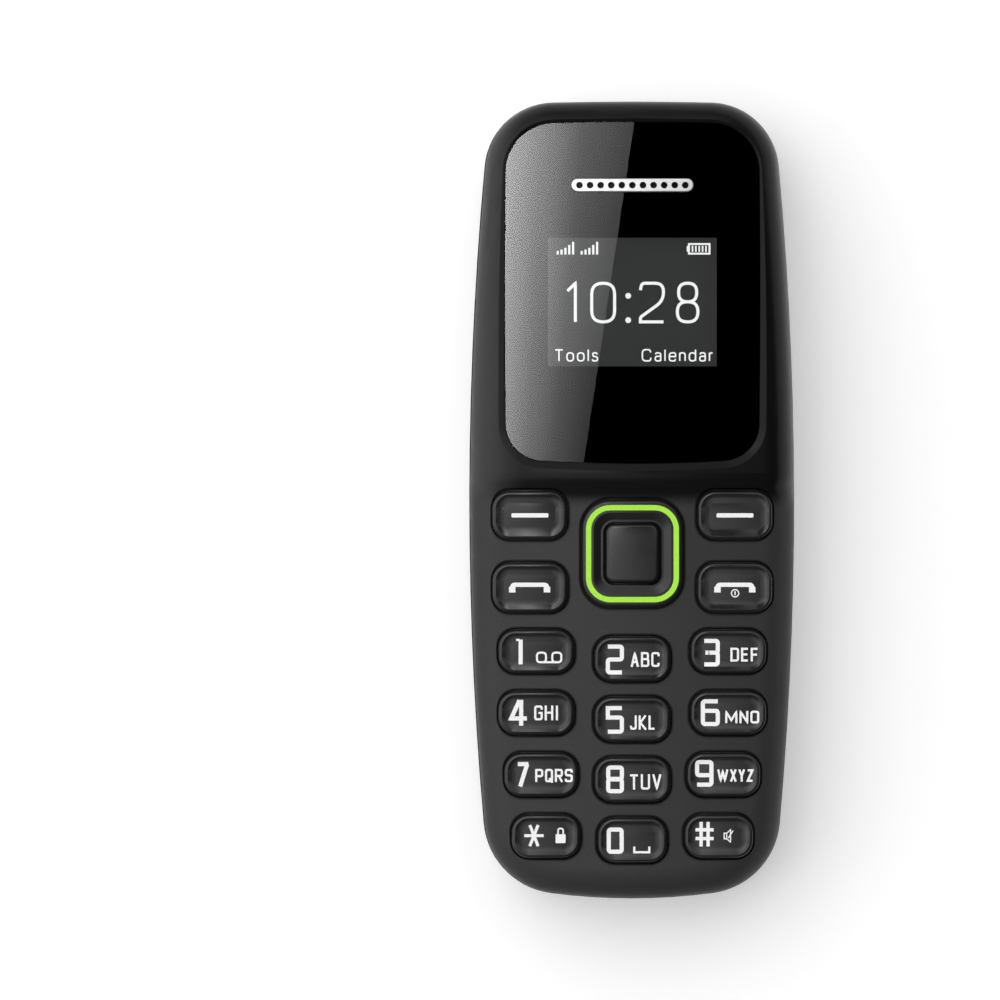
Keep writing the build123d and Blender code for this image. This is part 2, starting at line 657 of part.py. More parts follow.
def housing_screws():
    """Four alike, driven from behind through the web into the front housing's posts."""
    screws = []
    for place in SCREWS:
        neck = WEB_Z + SCREW_HEAD_HEIGHT
        screw = rod(place, SCREW_HEAD_RADIUS, WEB_Z, neck) + rod(place, SCREW_RADIUS, neck, neck + SCREW_GRIP)
        x, y = place
        socket = Pos(x, y, WEB_Z) * RegularPolygon(SCREW_SOCKET_RADIUS, 6)
        screws.append(screw - extrude(socket, amount=SCREW_SOCKET_DEPTH, dir=(0, 0, 1)))
    return Compound(screws)


def display_window():
    lens = slab(window_face(0), WINDOW_Z, WINDOW_TOP)
    return lens - grille_slot(WINDOW_Z, WINDOW_TOP)


def grille_slot(low, high):
    length = GRILLE_LENGTH + 2 * GRILLE_CLEARANCE
    width = GRILLE_WIDTH + 2 * GRILLE_CLEARANCE
    return bar((0, EARPIECE_Y), length, width, low, high)


def window_film():
    """The black film under the window, with the display's aperture."""
    film = slab(window_face(0), FILM_Z, WINDOW_Z)
    aperture = block((0, DISPLAY_Y), DISPLAY_WIDTH, DISPLAY_HEIGHT, FILM_Z, WINDOW_Z)
    return film - [aperture, grille_slot(FILM_Z, WINDOW_Z)]


def window_glue():
    """The ring of glue between the film and the housing's ledge."""
    ring = slab(window_face(0), LEDGE_TOP, FILM_Z)
    return ring - slab(window_face(GLUE_WIDTH), LEDGE_TOP, FILM_Z)


def earpiece_trim():
    """The light slot-shaped trim, pierced by a row of holes."""
    top = WINDOW_TOP + GRILLE_PROUD
    trim = bar((0, EARPIECE_Y), GRILLE_LENGTH, GRILLE_WIDTH, LEDGE_TOP, top)
    trim = fillet(top_edges(trim), GRILLE_EDGE)
    first = -GRILLE_HOLE_PITCH * (GRILLE_HOLES - 1) / 2
    places = [(first + GRILLE_HOLE_PITCH * i, EARPIECE_Y) for i in range(GRILLE_HOLES)]
    return trim - [rod(place, GRILLE_HOLE_RADIUS, LEDGE_TOP, top) for place in places]


def earpiece_speaker():
    """A small speaker between the board and the ledge, open towards the sound slot."""
    place = (0, EARPIECE_Y)
    top = LEDGE_Z - EARPIECE_GAP
    case = pad(place, EARPIECE_LENGTH, EARPIECE_WIDTH, EARPIECE_ROUND, BOARD_TOP, top)
    low = top - EARPIECE_RING_DEPTH
    size = (EARPIECE_LENGTH, EARPIECE_WIDTH, EARPIECE_ROUND)
    return case - pad(place, *size, low, top, EARPIECE_RING_WALL)


def display_gasket():
    """The foam frame between the display and the ledge."""
    place = (0, DISPLAY_Y)
    outside = block(place, PANEL_WIDTH, PANEL_HEIGHT, PANEL_TOP, LEDGE_Z)
    width, height = PANEL_WIDTH - 2 * GASKET_WIDTH, PANEL_HEIGHT - 2 * GASKET_WIDTH
    return outside - block(place, width, height, PANEL_TOP, LEDGE_Z)


def display_panel():
    return block((0, DISPLAY_Y), PANEL_WIDTH, PANEL_HEIGHT, PANEL_Z, PANEL_TOP)


def backlight():
    """The light plate under the display."""
    return block((0, DISPLAY_Y), PANEL_WIDTH, PANEL_HEIGHT, BOARD_TOP, PANEL_Z)


def display_holder():
    """The frame that holds the display and its backlight on the board."""
    place = (0, DISPLAY_Y)
    high = PANEL_TOP - HOLDER_DROP
    grow = 2 * HOLDER_CLEARANCE
    hole = (PANEL_WIDTH + grow, PANEL_HEIGHT + grow)
    wall = 2 * HOLDER_WALL
    frame = block(place, hole[0] + wall, hole[1] + wall, BOARD_TOP, high)
    notch_y = DISPLAY_Y - PANEL_HEIGHT / 2
    notch = block((0, notch_y), FLEX_WIDTH + grow, wall + grow * 2, PANEL_Z, high)
    return frame - [block(place, *hole, BOARD_TOP, high), notch]


def display_flex():
    """The ribbon from the display's lower edge down to the board."""
    edge = DISPLAY_Y - PANEL_HEIGHT / 2
    bend = edge - FLEX_REACH
    low, high = PANEL_Z + FLEX_LIFT, PANEL_Z + FLEX_LIFT + FLEX_THICKNESS
    run = block((0, (edge + bend) / 2), FLEX_WIDTH, FLEX_REACH, low, high)
    drop = block((0, bend + FLEX_THICKNESS / 2), FLEX_WIDTH, FLEX_THICKNESS, BOARD_TOP, high)
    foot_y = bend + FLEX_THICKNESS - FLEX_FOOT / 2
    foot = block((0, foot_y), FLEX_WIDTH, FLEX_FOOT, BOARD_TOP, BOARD_TOP + FLEX_THICKNESS)
    return run + [drop, foot]


def key_flange(place, width, height, radius, growth, low, high):
    """The lip that keeps a key in the face, held clear of the housing's walls."""
    lip = pad(place, width, height, radius, low, high, -growth)
    room = body_face(FRONT_INSET + FRONT_WALL + KEY_GAP)
    return lip & slab(room, low, high)


def key(place, width, height):
    """A key's cap with its dished top, its flange and its post, in one moulding."""
    size = (width, height, KEY_CORNER_RADIUS)
    top = FACE_Z + KEY_PROUD
    cap = pad(place, *size, FLANGE_Z, top, KEY_GAP)
    cap = fillet(top_edges(cap), KEY_EDGE)
    flange = key_flange(place, *size, KEY_FLANGE, FLANGE_Z, FLANGE_Z + FLANGE_THICKNESS)
    post = rod(place, KEY_POST_RADIUS, POST_Z, FLANGE_Z)
    return cap + [flange, post] - key_dish(place, size, top)


def key_dish(place, size, top):
    """The shallow hollow in a key's top: a flat middle, and sides that curve up to the rim."""
    run = sqrt(KEY_DISH_DEPTH * (2 * KEY_DISH_CURVE - KEY_DISH_DEPTH))
    inset = KEY_GAP + KEY_DISH_INSET + run - KEY_DISH_CURVE
    low = top - KEY_DISH_DEPTH
    hollow = pad(place, *size, low, low + 2 * KEY_DISH_CURVE, inset)
    return fillet(low_edges(hollow), KEY_DISH_CURVE)


def nav_ring():
    """The rocking pad: a raised frame that falls away towards the select key."""
    size = (NAV_WIDTH, NAV_HEIGHT, NAV_CORNER_RADIUS)
    cap = pad(NAV_PLACE, *size, NAV_FLANGE_Z, NAV_TOP, KEY_GAP)
    cap = fillet(top_edges(cap), NAV_EDGE)
    flange_top = NAV_FLANGE_Z + NAV_FLANGE_THICKNESS
    flange = pad(NAV_PLACE, *size, NAV_FLANGE_Z, flange_top, -NAV_FLANGE)
    posts = [rod(place, NAV_POST_RADIUS, NAV_POST_Z, NAV_FLANGE_Z) for place in NAV_POSTS]
    return cap + [flange] + posts - nav_ring_cuts()


def nav_ring_cuts():
    """The pad's groove for the coloured ring, its slope, and the room for the select key."""
    groove_low = NAV_TOP - TRIM_DEPTH
    trim = (TRIM_WIDTH, TRIM_HEIGHT, TRIM_CORNER_RADIUS)
    inside = TRIM_LINE + TRIM_CLEARANCE
    groove = pad(NAV_PLACE, *trim, groove_low, NAV_TOP, -TRIM_CLEARANCE)
    groove = groove - pad(NAV_PLACE, *trim, groove_low, NAV_TOP, inside)
    well = (OK_WIDTH, OK_HEIGHT, OK_CORNER_RADIUS)
    slope_low = pad_face(NAV_PLACE, *well, -KEY_GAP)
    slope_high = pad_face(NAV_PLACE, *trim, inside + KEY_GAP)
    slope = flare(slope_low, NAV_TOP - OK_SINK, slope_high, NAV_TOP)
    hole = pad(NAV_PLACE, *well, NAV_FLANGE_Z, NAV_TOP)
    room_top = NAV_FLANGE_Z + NAV_FLANGE_THICKNESS + OK_FLANGE_CLEARANCE
    growth = OK_FLANGE + OK_FLANGE_CLEARANCE
    room = pad(NAV_PLACE, *well, NAV_FLANGE_Z, room_top, -growth)
    return [groove, slope, hole, room]


def nav_trim():
    """The coloured ring, standing a little out of its groove."""
    size = (TRIM_WIDTH, TRIM_HEIGHT, TRIM_CORNER_RADIUS)
    low, high = NAV_TOP - TRIM_DEPTH, NAV_TOP + TRIM_PROUD
    return pad(NAV_PLACE, *size, low, high) - pad(NAV_PLACE, *size, low, high, TRIM_LINE)


def nav_gimbal():
    """The small frame between the pad and the board, on which the pad rocks."""
    low = NAV_POST_Z + NAV_POST_DIP
    high = low + GIMBAL_THICKNESS
    shrink = (GIMBAL_OUTER - GIMBAL_INNER) / 2
    size = (GIMBAL_OUTER, GIMBAL_OUTER, GIMBAL_CORNER_RADIUS)
    return pad(NAV_PLACE, *size, low, high) - pad(NAV_PLACE, *size, low, high, shrink)


def ok_key():
    """The select key, with its flange under the pad and its post through the gimbal."""
    size = (OK_WIDTH, OK_HEIGHT, OK_CORNER_RADIUS)
    cap = pad(NAV_PLACE, *size, NAV_FLANGE_Z, OK_TOP, KEY_GAP)
    cap = fillet(top_edges(cap), OK_EDGE)
    flange_top = NAV_FLANGE_Z + NAV_FLANGE_THICKNESS
    flange = pad(NAV_PLACE, *size, NAV_FLANGE_Z, flange_top, -OK_FLANGE)
    return cap + [flange, rod(NAV_PLACE, KEY_POST_RADIUS, POST_Z, NAV_FLANGE_Z)]


def main_board():
    board = slab(body_face(SKIRT_INSET + SKIRT_WALL + BOARD_CLEARANCE), BOARD_Z, BOARD_TOP)
    cuts = [rod(place, POST_RADIUS + POST_CLEARANCE, BOARD_Z, BOARD_TOP) for place in SCREWS]
    width = PORT_WIDTH + 2 * PORT_CLEARANCE
    cuts.append(block((0, PORT_Y), width, PORT_DEPTH + 2 * PORT_CLEARANCE, BOARD_Z, BOARD_TOP))
    return board - cuts


def dome_sheet():
    """The thin film over the keypad's part of the board, with holes for the domes and the lights."""
    high = BOARD_TOP + DOME_SHEET_THICKNESS
    sheet = keypad_area(BOARD_TOP, high)
    holes = [rod(place, DOME_RADIUS + DOME_HOLE_CLEARANCE, BOARD_TOP, high) for place in DOMES]
    size = (LED_LENGTH + 2 * DOME_HOLE_CLEARANCE, LED_WIDTH + 2 * DOME_HOLE_CLEARANCE)
    holes += [block(place, *size, BOARD_TOP, high) for place in LEDS]
    return sheet - holes


def keypad_area(low, high):
    """A slab over the keypad's part of the inside."""
    inset = SKIRT_INSET + SKIRT_WALL + BOARD_CLEARANCE + MAT_MARGIN
    reach = MAT_END_Y + BODY_LENGTH / 2
    half = block((0, MAT_END_Y - reach / 2), BODY_WIDTH, reach, low, high)
    return slab(body_face(inset), low, high) & half


def metal_domes():
    """A snap dome on the board under each key, four under the pad and one under the select key."""
    outer = (DOME_RADIUS**2 + DOME_RISE**2) / (2 * DOME_RISE)
    ball = Pos(0, 0, DOME_TOP - outer) * (Sphere(outer) - Sphere(outer - DOME_METAL))
    dome = ball & rod((0, 0), DOME_RADIUS, BOARD_TOP, DOME_TOP)
    return Compound([Pos(*place) * dome.solids()[0] for place in DOMES])


def keypad_mat():
    """The silicone mat, on feet, with a hole for each post and a window for the pad."""
    mat = keypad_area(MAT_Z, MAT_TOP)
    places = both_sides(MAT_FOOT_UPPER) + both_sides(MAT_FOOT_LOWER)
    foot_z = BOARD_TOP + DOME_SHEET_THICKNESS + MAT_FOOT_GAP
    mat = mat + [rod(place, MAT_FOOT_RADIUS, foot_z, MAT_Z) for place in places]
    hole = KEY_POST_RADIUS + MAT_HOLE_CLEARANCE
    cuts = [rod(place, hole, MAT_Z, MAT_TOP) for place, _, _ in KEYS.values()]
    size = (NAV_WIDTH, NAV_HEIGHT, NAV_CORNER_RADIUS)
    cuts.append(pad(NAV_PLACE, *size, MAT_Z, MAT_TOP, -NAV_FLANGE - MAT_MARGIN))
    return mat - cuts


def keypad_leds():
    lights = [block(place, LED_LENGTH, LED_WIDTH, BOARD_TOP, BOARD_TOP + LED_HEIGHT) for place in LEDS]
    return Compound(lights)


def tray(place, width, height, depth, wall):
    """A thin metal box under the board, open towards it."""
    low = BOARD_Z - depth
    box = block(place, width, height, low, BOARD_Z)
    return box - block(place, width - 2 * wall, height - 2 * wall, low + wall, BOARD_Z)


def shield_can():
    return tray((0, CAN_Y), CAN_WIDTH, CAN_HEIGHT, CAN_DEPTH, CAN_WALL)


def main_chip():
    return block((-CHIP_SPACING, CAN_Y), CHIP_SIZE, CHIP_SIZE, BOARD_Z - CHIP_DEPTH, BOARD_Z)


def memory_chip():
    place = (CHIP_SPACING, CAN_Y)
    return block(place, MEMORY_CHIP_WIDTH, CHIP_SIZE, BOARD_Z - CHIP_DEPTH, BOARD_Z)


def card_holder(y, width, height):
    """A sheet metal sleeve under the board, open at its right end where the card goes in."""
    low = BOARD_Z - SIM_DEPTH
    sleeve = block((0, y), width, height, low, BOARD_Z)
    inside = block((SIM_SHEET, y), width, height - 2 * SIM_SHEET, low + SIM_SHEET, BOARD_Z - SIM_SHEET)
    return sleeve - inside


def antenna():
    """A slit metal plate under the web, at the end below the battery."""
    low = WEB_Z - AERIAL_THICKNESS
    plate = block((0, AERIAL_Y), AERIAL_WIDTH, AERIAL_HEIGHT, low, WEB_Z)
    slit_x = AERIAL_WIDTH / 2 - AERIAL_TRACK - AERIAL_SLIT / 2
    slit_y = AERIAL_Y - AERIAL_TRACK
    return plate - block((slit_x, slit_y), AERIAL_SLIT, AERIAL_HEIGHT, low, WEB_Z)


def microphone():
    """A round capsule under the board at the bottom end."""
    return rod((MIC_X, MIC_Y), MIC_RADIUS, BOARD_Z - MIC_HEIGHT, BOARD_Z)


def charging_port():
    """The port's steel shell, set into the board's end, with its tongue."""
    profile = RectangleRounded(PORT_WIDTH, PORT_HEIGHT, PORT_ROUND)
    mouth_size = (PORT_WIDTH - 2 * PORT_SHEET, PORT_HEIGHT - 2 * PORT_SHEET)
    mouth = RectangleRounded(*mouth_size, PORT_ROUND - PORT_SHEET)
    tongue = Rectangle(PORT_TONGUE_WIDTH, PORT_TONGUE_THICKNESS)
    shell = extrude(profile, amount=PORT_DEPTH) - extrude(mouth, amount=PORT_DEPTH - PORT_SHEET)
    shell = shell + extrude(tongue, amount=PORT_DEPTH)
    turn = Pos(0, PORT_Y + PORT_DEPTH / 2, PORT_Z + PORT_HEIGHT / 2) * Rot(90, 0, 0)
    return turn * shell


def battery_cell():
    """The pouch in its wrapper, without the end that carries the terminals."""
    length = BATTERY_LENGTH - BATTERY_CAP
    place = (0, BATTERY_Y - BATTERY_CAP / 2)
    cell = block(place, BATTERY_WIDTH, length, BATTERY_Z, BATTERY_Z + BATTERY_THICKNESS)
    return fillet(cell.edges().filter_by(Axis.Y), BATTERY_ROUND)


def battery_cap():
    """The battery's end, with a pocket for each terminal."""
    place = (0, BATTERY_TOP_Y - BATTERY_CAP / 2)
    cap = block(place, BATTERY_WIDTH, BATTERY_CAP, BATTERY_Z, BATTERY_Z + BATTERY_THICKNESS)
    cap = fillet(cap.edges().filter_by(Axis.Y), BATTERY_ROUND)
    return cap - terminal_pads()


def terminal_pads():
    middle = BATTERY_Z + BATTERY_THICKNESS / 2
    low, high = middle - TERMINAL_HEIGHT / 2, middle + TERMINAL_HEIGHT / 2
    y = BATTERY_TOP_Y - TERMINAL_DEPTH / 2
    return [block((x, y), TERMINAL_WIDTH, TERMINAL_DEPTH, low, high) for x in terminal_places()]


def terminal_places():
    return [TERMINAL_PITCH * (i - (TERMINALS - 1) / 2) for i in range(TERMINALS)]


def contact_block():
    """The block under the board whose springs meet the battery's end."""
    return block((0, CONTACT_Y), CONTACT_WIDTH, CONTACT_DEPTH, CONTACT_FOOT_Z, BOARD_Z)


def contact_springs():
    """The leaf springs between the block and the battery's terminals."""
    reach = CONTACT_GAP - SPRING_GAP
    middle = BATTERY_Z + BATTERY_THICKNESS / 2
    low, high = middle - SPRING_HEIGHT / 2, middle + SPRING_HEIGHT / 2
    y = BATTERY_TOP_Y + SPRING_GAP + reach / 2
    return Compound([block((x, y), SPRING_WIDTH, reach, low, high) for x in terminal_places()])


def loudspeaker():
    """A round speaker whose cone faces the slots in the back."""
    place = (0, SPEAKER_Y)
    high = WEB_Z
    low = high - SPEAKER_THICKNESS
    case = rod(place, SPEAKER_RADIUS, low, high)
    return case - rod(place, SPEAKER_RADIUS - SPEAKER_BASKET, low, low + SPEAKER_CONE_DEPTH)


def speaker_foam():
    """The foam ring between the loudspeaker and the plate behind the slots."""
    place = (0, SPEAKER_Y)
    low = COVER_FLOOR + MESH_THICKNESS + FOAM_GAP
    high = WEB_Z - SPEAKER_THICKNESS
    return rod(place, SPEAKER_RADIUS, low, high) - rod(place, SPEAKER_RADIUS - FOAM_WIDTH, low, high)


def along_x(place_x, radius, length):
    """A round bar along the motor's axis."""
    start = Pos(place_x, MOTOR_Y, MOTOR_Z) * Rot(0, 90, 0)
    return start * extrude(Circle(radius), amount=length)


def motor_can(growth):
    return along_x(MOTOR_X - growth, MOTOR_RADIUS + growth, MOTOR_LENGTH + 2 * growth)


def vibration_motor():
    """The motor's can and its shaft."""
    end = MOTOR_X + MOTOR_LENGTH
    return motor_can(0) + along_x(end, MOTOR_SHAFT_RADIUS, MOTOR_SHAFT_REACH)


def motor_weight():
    """The half-round weight that the motor spins."""
    start = MOTOR_X + MOTOR_LENGTH + WEIGHT_GAP
    disc = along_x(start, WEIGHT_RADIUS, WEIGHT_LENGTH)
    middle = start + WEIGHT_LENGTH / 2
    lower = block((middle, MOTOR_Y), WEIGHT_LENGTH, 2 * WEIGHT_RADIUS, MOTOR_Z - WEIGHT_RADIUS, MOTOR_Z)
    hub = along_x(start, WEIGHT_HUB_RADIUS, WEIGHT_LENGTH)
    bore = along_x(start, MOTOR_SHAFT_RADIUS + WEIGHT_BORE_CLEARANCE, WEIGHT_LENGTH)
    return (disc & lower) + hub - bore


def all_parts():
    """Every node's name with its solid."""
    parts = {
        "front_housing": front_housing(),
        "rear_housing": rear_housing(),
        "housing_screws": housing_screws(),
        "back_cover": back_cover(),
        "speaker_mesh": speaker_mesh(),
        "display_window": display_window(),
        "window_film": window_film(),
        "window_glue": window_glue(),
        "earpiece_trim": earpiece_trim(),
        "earpiece_speaker": earpiece_speaker(),
        "display_gasket": display_gasket(),
        "display_panel": display_panel(),
        "backlight": backlight(),
        "display_holder": display_holder(),
        "display_flex": display_flex(),
        "nav_ring": nav_ring(),
        "nav_trim": nav_trim(),
        "nav_gimbal": nav_gimbal(),
        "ok_key": ok_key(),
        "main_board": main_board(),
        "dome_sheet": dome_sheet(),
        "metal_domes": metal_domes(),
        "keypad_mat": keypad_mat(),
        "keypad_leds": keypad_leds(),
        "shield_can": shield_can(),
        "main_chip": main_chip(),
        "memory_chip": memory_chip(),
        "sim_holder_1": card_holder(SIM_UPPER_Y, SIM_WIDTH, SIM_HEIGHT),
        "sim_holder_2": card_holder(SIM_LOWER_Y, SIM_WIDTH, SIM_HEIGHT),
        "memory_card_holder": card_holder(CARD_Y, CARD_WIDTH, CARD_HEIGHT),
        "antenna": antenna(),
        "microphone": microphone(),
        "charging_port": charging_port(),
        "battery_cell": battery_cell(),
        "battery_cap": battery_cap(),
        "battery_terminals": Compound(terminal_pads()),
        "contact_block": contact_block(),
        "contact_springs": contact_springs(),
        "loudspeaker": loudspeaker(),
        "speaker_foam": speaker_foam(),
        "vibration_motor": vibration_motor(),
        "motor_weight": motor_weight(),
    }
    for name, (place, width, height) in KEYS.items():
        parts[name] = key(place, width, height)
    return parts


os.makedirs("parts", exist_ok=True)
for name, solid in all_parts().items():
    export_step(Compound(solid.solids()), f"parts/{name}.step")
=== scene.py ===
from math import cos, radians, sin

import bpy
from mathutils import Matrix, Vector
from mathutils.bvhtree import BVHTree


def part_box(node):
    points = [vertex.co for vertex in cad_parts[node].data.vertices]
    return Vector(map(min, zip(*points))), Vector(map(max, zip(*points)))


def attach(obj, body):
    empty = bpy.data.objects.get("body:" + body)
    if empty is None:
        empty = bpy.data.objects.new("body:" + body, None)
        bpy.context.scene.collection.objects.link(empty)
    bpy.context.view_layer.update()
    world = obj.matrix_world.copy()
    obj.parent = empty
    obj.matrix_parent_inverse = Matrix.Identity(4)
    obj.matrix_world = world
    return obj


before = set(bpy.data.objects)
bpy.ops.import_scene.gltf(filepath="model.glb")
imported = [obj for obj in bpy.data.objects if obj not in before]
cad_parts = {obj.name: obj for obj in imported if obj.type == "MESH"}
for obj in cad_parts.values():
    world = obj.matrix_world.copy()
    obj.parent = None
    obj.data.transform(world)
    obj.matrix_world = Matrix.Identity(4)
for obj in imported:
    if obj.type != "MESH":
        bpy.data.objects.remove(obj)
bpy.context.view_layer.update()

MM = 0.001
NO_LIGHT = (0, 0, 0, 1)
FULL_WHITE = (1, 1, 1, 1)


def grey(level):
    """A linear colour from a grey seen on screen, 0 to 255."""
    share = level / 255
    linear = share / 12.92 if share <= 0.04045 else ((share + 0.055) / 1.055) ** 2.4
    return (linear, linear, linear, 1)


def shade(red, green, blue):
    """A linear colour from the three levels seen on screen, 0 to 255."""
    return (grey(red)[0], grey(green)[0], grey(blue)[0], 1)


def scaled(colour, factor):
    """The same colour, lighter or darker by a factor."""
    return (colour[0] * factor, colour[1] * factor, colour[2] * factor, 1)


# Materials


class Wire:
    """One output of a node. Sums and products on it add Math nodes to its material."""

    def __init__(self, paint, socket):
        self.paint, self.socket = paint, socket

    def math(self, operation, *values):
        """The outcome of one Math node."""
        sockets = dict(enumerate(values))
        return self.paint.node("ShaderNodeMath", {"operation": operation}, sockets)

    def __add__(self, other):
        return self.math("ADD", self, other)

    def __radd__(self, other):
        return self.math("ADD", other, self)

    def __sub__(self, other):
        return self.math("SUBTRACT", self, other)

    def __rsub__(self, other):
        return self.math("SUBTRACT", other, self)

    def __mul__(self, other):
        return self.math("MULTIPLY", self, other)

    def __rmul__(self, other):
        return self.math("MULTIPLY", other, self)

    def __pow__(self, other):
        return self.math("POWER", self, other)

    def higher(self, other):
        """The larger of the two values."""
        return self.math("MAXIMUM", self, other)


class Paint:
    """One material, or the room round the object. Its nodes are joined as they are made."""

    def __init__(self, name, store=bpy.data.materials):
        self.made = store.new(name)
        self.made.use_nodes = True
        self.tree = self.made.node_tree
        self.tree.nodes.clear()

    def node(self, kind, settings=None, sockets=None, output=0):
        """Makes a node, sets it up, feeds its sockets and gives one of its outputs."""
        made = self.tree.nodes.new(kind)
        for name, value in (settings or {}).items():
            setattr(made, name, value)
        for name, value in (sockets or {}).items():
            if isinstance(value, Wire):
                self.tree.links.new(value.socket, made.inputs[name])
            else:
                made.inputs[name].default_value = value
        return Wire(self, made.outputs[output]) if made.outputs else None

    def place(self, stretch=(1, 1, 1)):
        """Where a point of the piece lies, in millimetres, each axis times its stretch."""
        seat = self.node("ShaderNodeTexCoord", None, None, "Object")
        per_mm = tuple(share / MM for share in stretch)
        return self.node(
            "ShaderNodeVectorMath", {"operation": "MULTIPLY"}, {0: seat, 1: per_mm}
        )

    def axes(self, vector):
        """The three numbers of a vector."""
        return [self.node("ShaderNodeSeparateXYZ", None, {0: vector}, axis) for axis in "XYZ"]

    def noise(self, scale, detail=2, roughness=0.5, stretch=(1, 1, 1), twist=0):
        """Soft random values round a half. The scale is in patches for each millimetre."""
        return self.node(
            "ShaderNodeTexNoise",
            None,
            {
                "Vector": self.place(stretch),
                "Scale": scale,
                "Detail": detail,
                "Roughness": roughness,
                "Distortion": twist,
            },
        )

    def cells(self, scale):
        """Distances to scattered points, for pores, pits and dust."""
        return self.node(
            "ShaderNodeTexVoronoi",
            {"feature": "F1"},
            {"Vector": self.place(), "Scale": scale},
            "Distance",
        )

    def step(self, value, low, high, to_low=0, to_high=1):
        """A value spread from one range to another, held at both ends."""
        return self.node(
            "ShaderNodeMapRange",
            {"interpolation_type": "SMOOTHSTEP"},
            {
                "Value": value,
                "From Min": low,
                "From Max": high,
                "To Min": to_low,
                "To Max": to_high,
            },
        )

    def between(self, share, first, second, held=True):
        """A colour on the way from the first to the second, or past it if it isn't held."""
        return self.node(
            "ShaderNodeMix",
            {"data_type": "RGBA", "clamp_factor": held},
            {0: share, 6: first, 7: second},
            2,
        )

    def relief(self, height, depth):
        """A surface whose height runs over a depth in millimetres."""
        return self.node(
            "ShaderNodeBump", None, {"Height": height, "Strength": 1, "Distance": depth * MM}
        )

    def skin(self, **sockets):
        """The shader of the surface. Words of a socket's name are joined with underscores."""
        named = {name.replace("_", " "): value for name, value in sockets.items()}
        return self.node("ShaderNodeBsdfPrincipled", None, named)

    def done(self, shader, kind="ShaderNodeOutputMaterial"):
        """Joins the shader to the output, and gives the finished material or room."""
        self.node(kind, None, {"Surface": shader})
        return self.made


MOTTLE = 0.12
GRAIN_SHADE = 0.8
DUST_SHADE = 1.6


def plastic(paint, colour, grain_scale, mottle=MOTTLE):
    """Moulded plastic's flow marks, grain and rubbed spots, and its colour with dust on it."""
    flow = paint.noise(0.11, 3, 0.55)
    tooth = paint.noise(grain_scale, 2, 0.6)
    rubbed = paint.step(paint.noise(0.34, 4, 0.6, twist=0.6), 0.55, 0.72)
    specks = paint.step(paint.cells(0.55), 0.02, 0.05)
    tone = paint.between(flow, scaled(colour, 1 - mottle), scaled(colour, 1 + mottle))
    speckled = paint.between(tooth, scaled(colour, GRAIN_SHADE), tone)
    dusted = paint.between(specks, scaled(colour, DUST_SHADE), speckled)
    return flow, tooth, rubbed, dusted


def moulded(name, colour, roughness, grain_size, grain_depth, mottle=MOTTLE):
    """Moulded plastic. The grain's size and depth are in millimetres."""
    paint = Paint(name)
    flow, tooth, rubbed, dusted = plastic(paint, colour, 1 / grain_size, mottle)
    return paint.done(
        paint.skin(
            Base_Color=dusted,
            Roughness=roughness + 0.06 * (flow - 0.5) - 0.07 * rubbed + 0.05 * tooth,
            Normal=paint.relief(tooth + 0.25 * flow, grain_depth),
        )
    )


# The front shell's face. The grain's depth and the places where its painted shade begins are in
# millimetres
FACE_CROWN = 0.011
FACE_GRAIN_SCALE = 6
FACE_GRAIN_DEPTH = 0.006
FACE_ROUGHNESS = 0.4
SURROUND_GLOSS = 0.16
SURROUND_START, SURROUND_FULL = -1.0, 0.8
# The glossier finish and the painted shade above the keys stop short of the left strip, where the
# light falls
SURROUND_LEFT_START, SURROUND_LEFT_FULL = -13.5, -9.5
# Heights between which painted shade darkens the rolled sides
RIM_FULL_SHADE_LEVEL, RIM_PLAIN_LEVEL = 10.0, 11.7


def front_face(name, satin, black, rim_shade_colour):
    """The front shell: a satin crowned keypad face, glossier above the keys, with painted shade
    darkening that region and the rolled sides.
    """
    paint = Paint(name)
    across, up, level = paint.axes(paint.place())
    above_keys = paint.step(up, SURROUND_START, SURROUND_FULL)
    # Above the keys the finish is glossier, and its colour is darkened by painted shade
    surround_gloss_and_shade = above_keys * paint.step(across, SURROUND_LEFT_START, SURROUND_LEFT_FULL)
    # Painted shade: the rolled sides darken towards the back
    rim_shade = paint.step(level, RIM_FULL_SHADE_LEVEL, RIM_PLAIN_LEVEL, 1, 0)
    flow, tooth, rubbed, dusted = plastic(paint, satin, FACE_GRAIN_SCALE)
    matt = FACE_ROUGHNESS - SURROUND_GLOSS * surround_gloss_and_shade
    grain = FACE_GRAIN_DEPTH * (tooth + 0.25 * flow)
    return paint.done(
        paint.skin(
            # Base colour: painted shade above the keys and on the rolled sides
            Base_Color=paint.between(surround_gloss_and_shade, paint.between(rim_shade, dusted, rim_shade_colour), black),
            Roughness=matt + 0.05 * (flow - 0.5) - 0.06 * rubbed + 0.04 * tooth,
            Specular_IOR_Level=0.12,
            Normal=paint.relief(grain - FACE_CROWN * across * across, 1),
        )
    )


# The back cover's grain, and the heights between which painted shade darkens its rolled sides, in
# millimetres
RIPPLE_STRETCH = (0.85, 3, 3)
RIPPLE_DEPTH = 0.028
COVER_PLAIN_LEVEL, COVER_FULL_SHADE_LEVEL = 0.02, 2.2


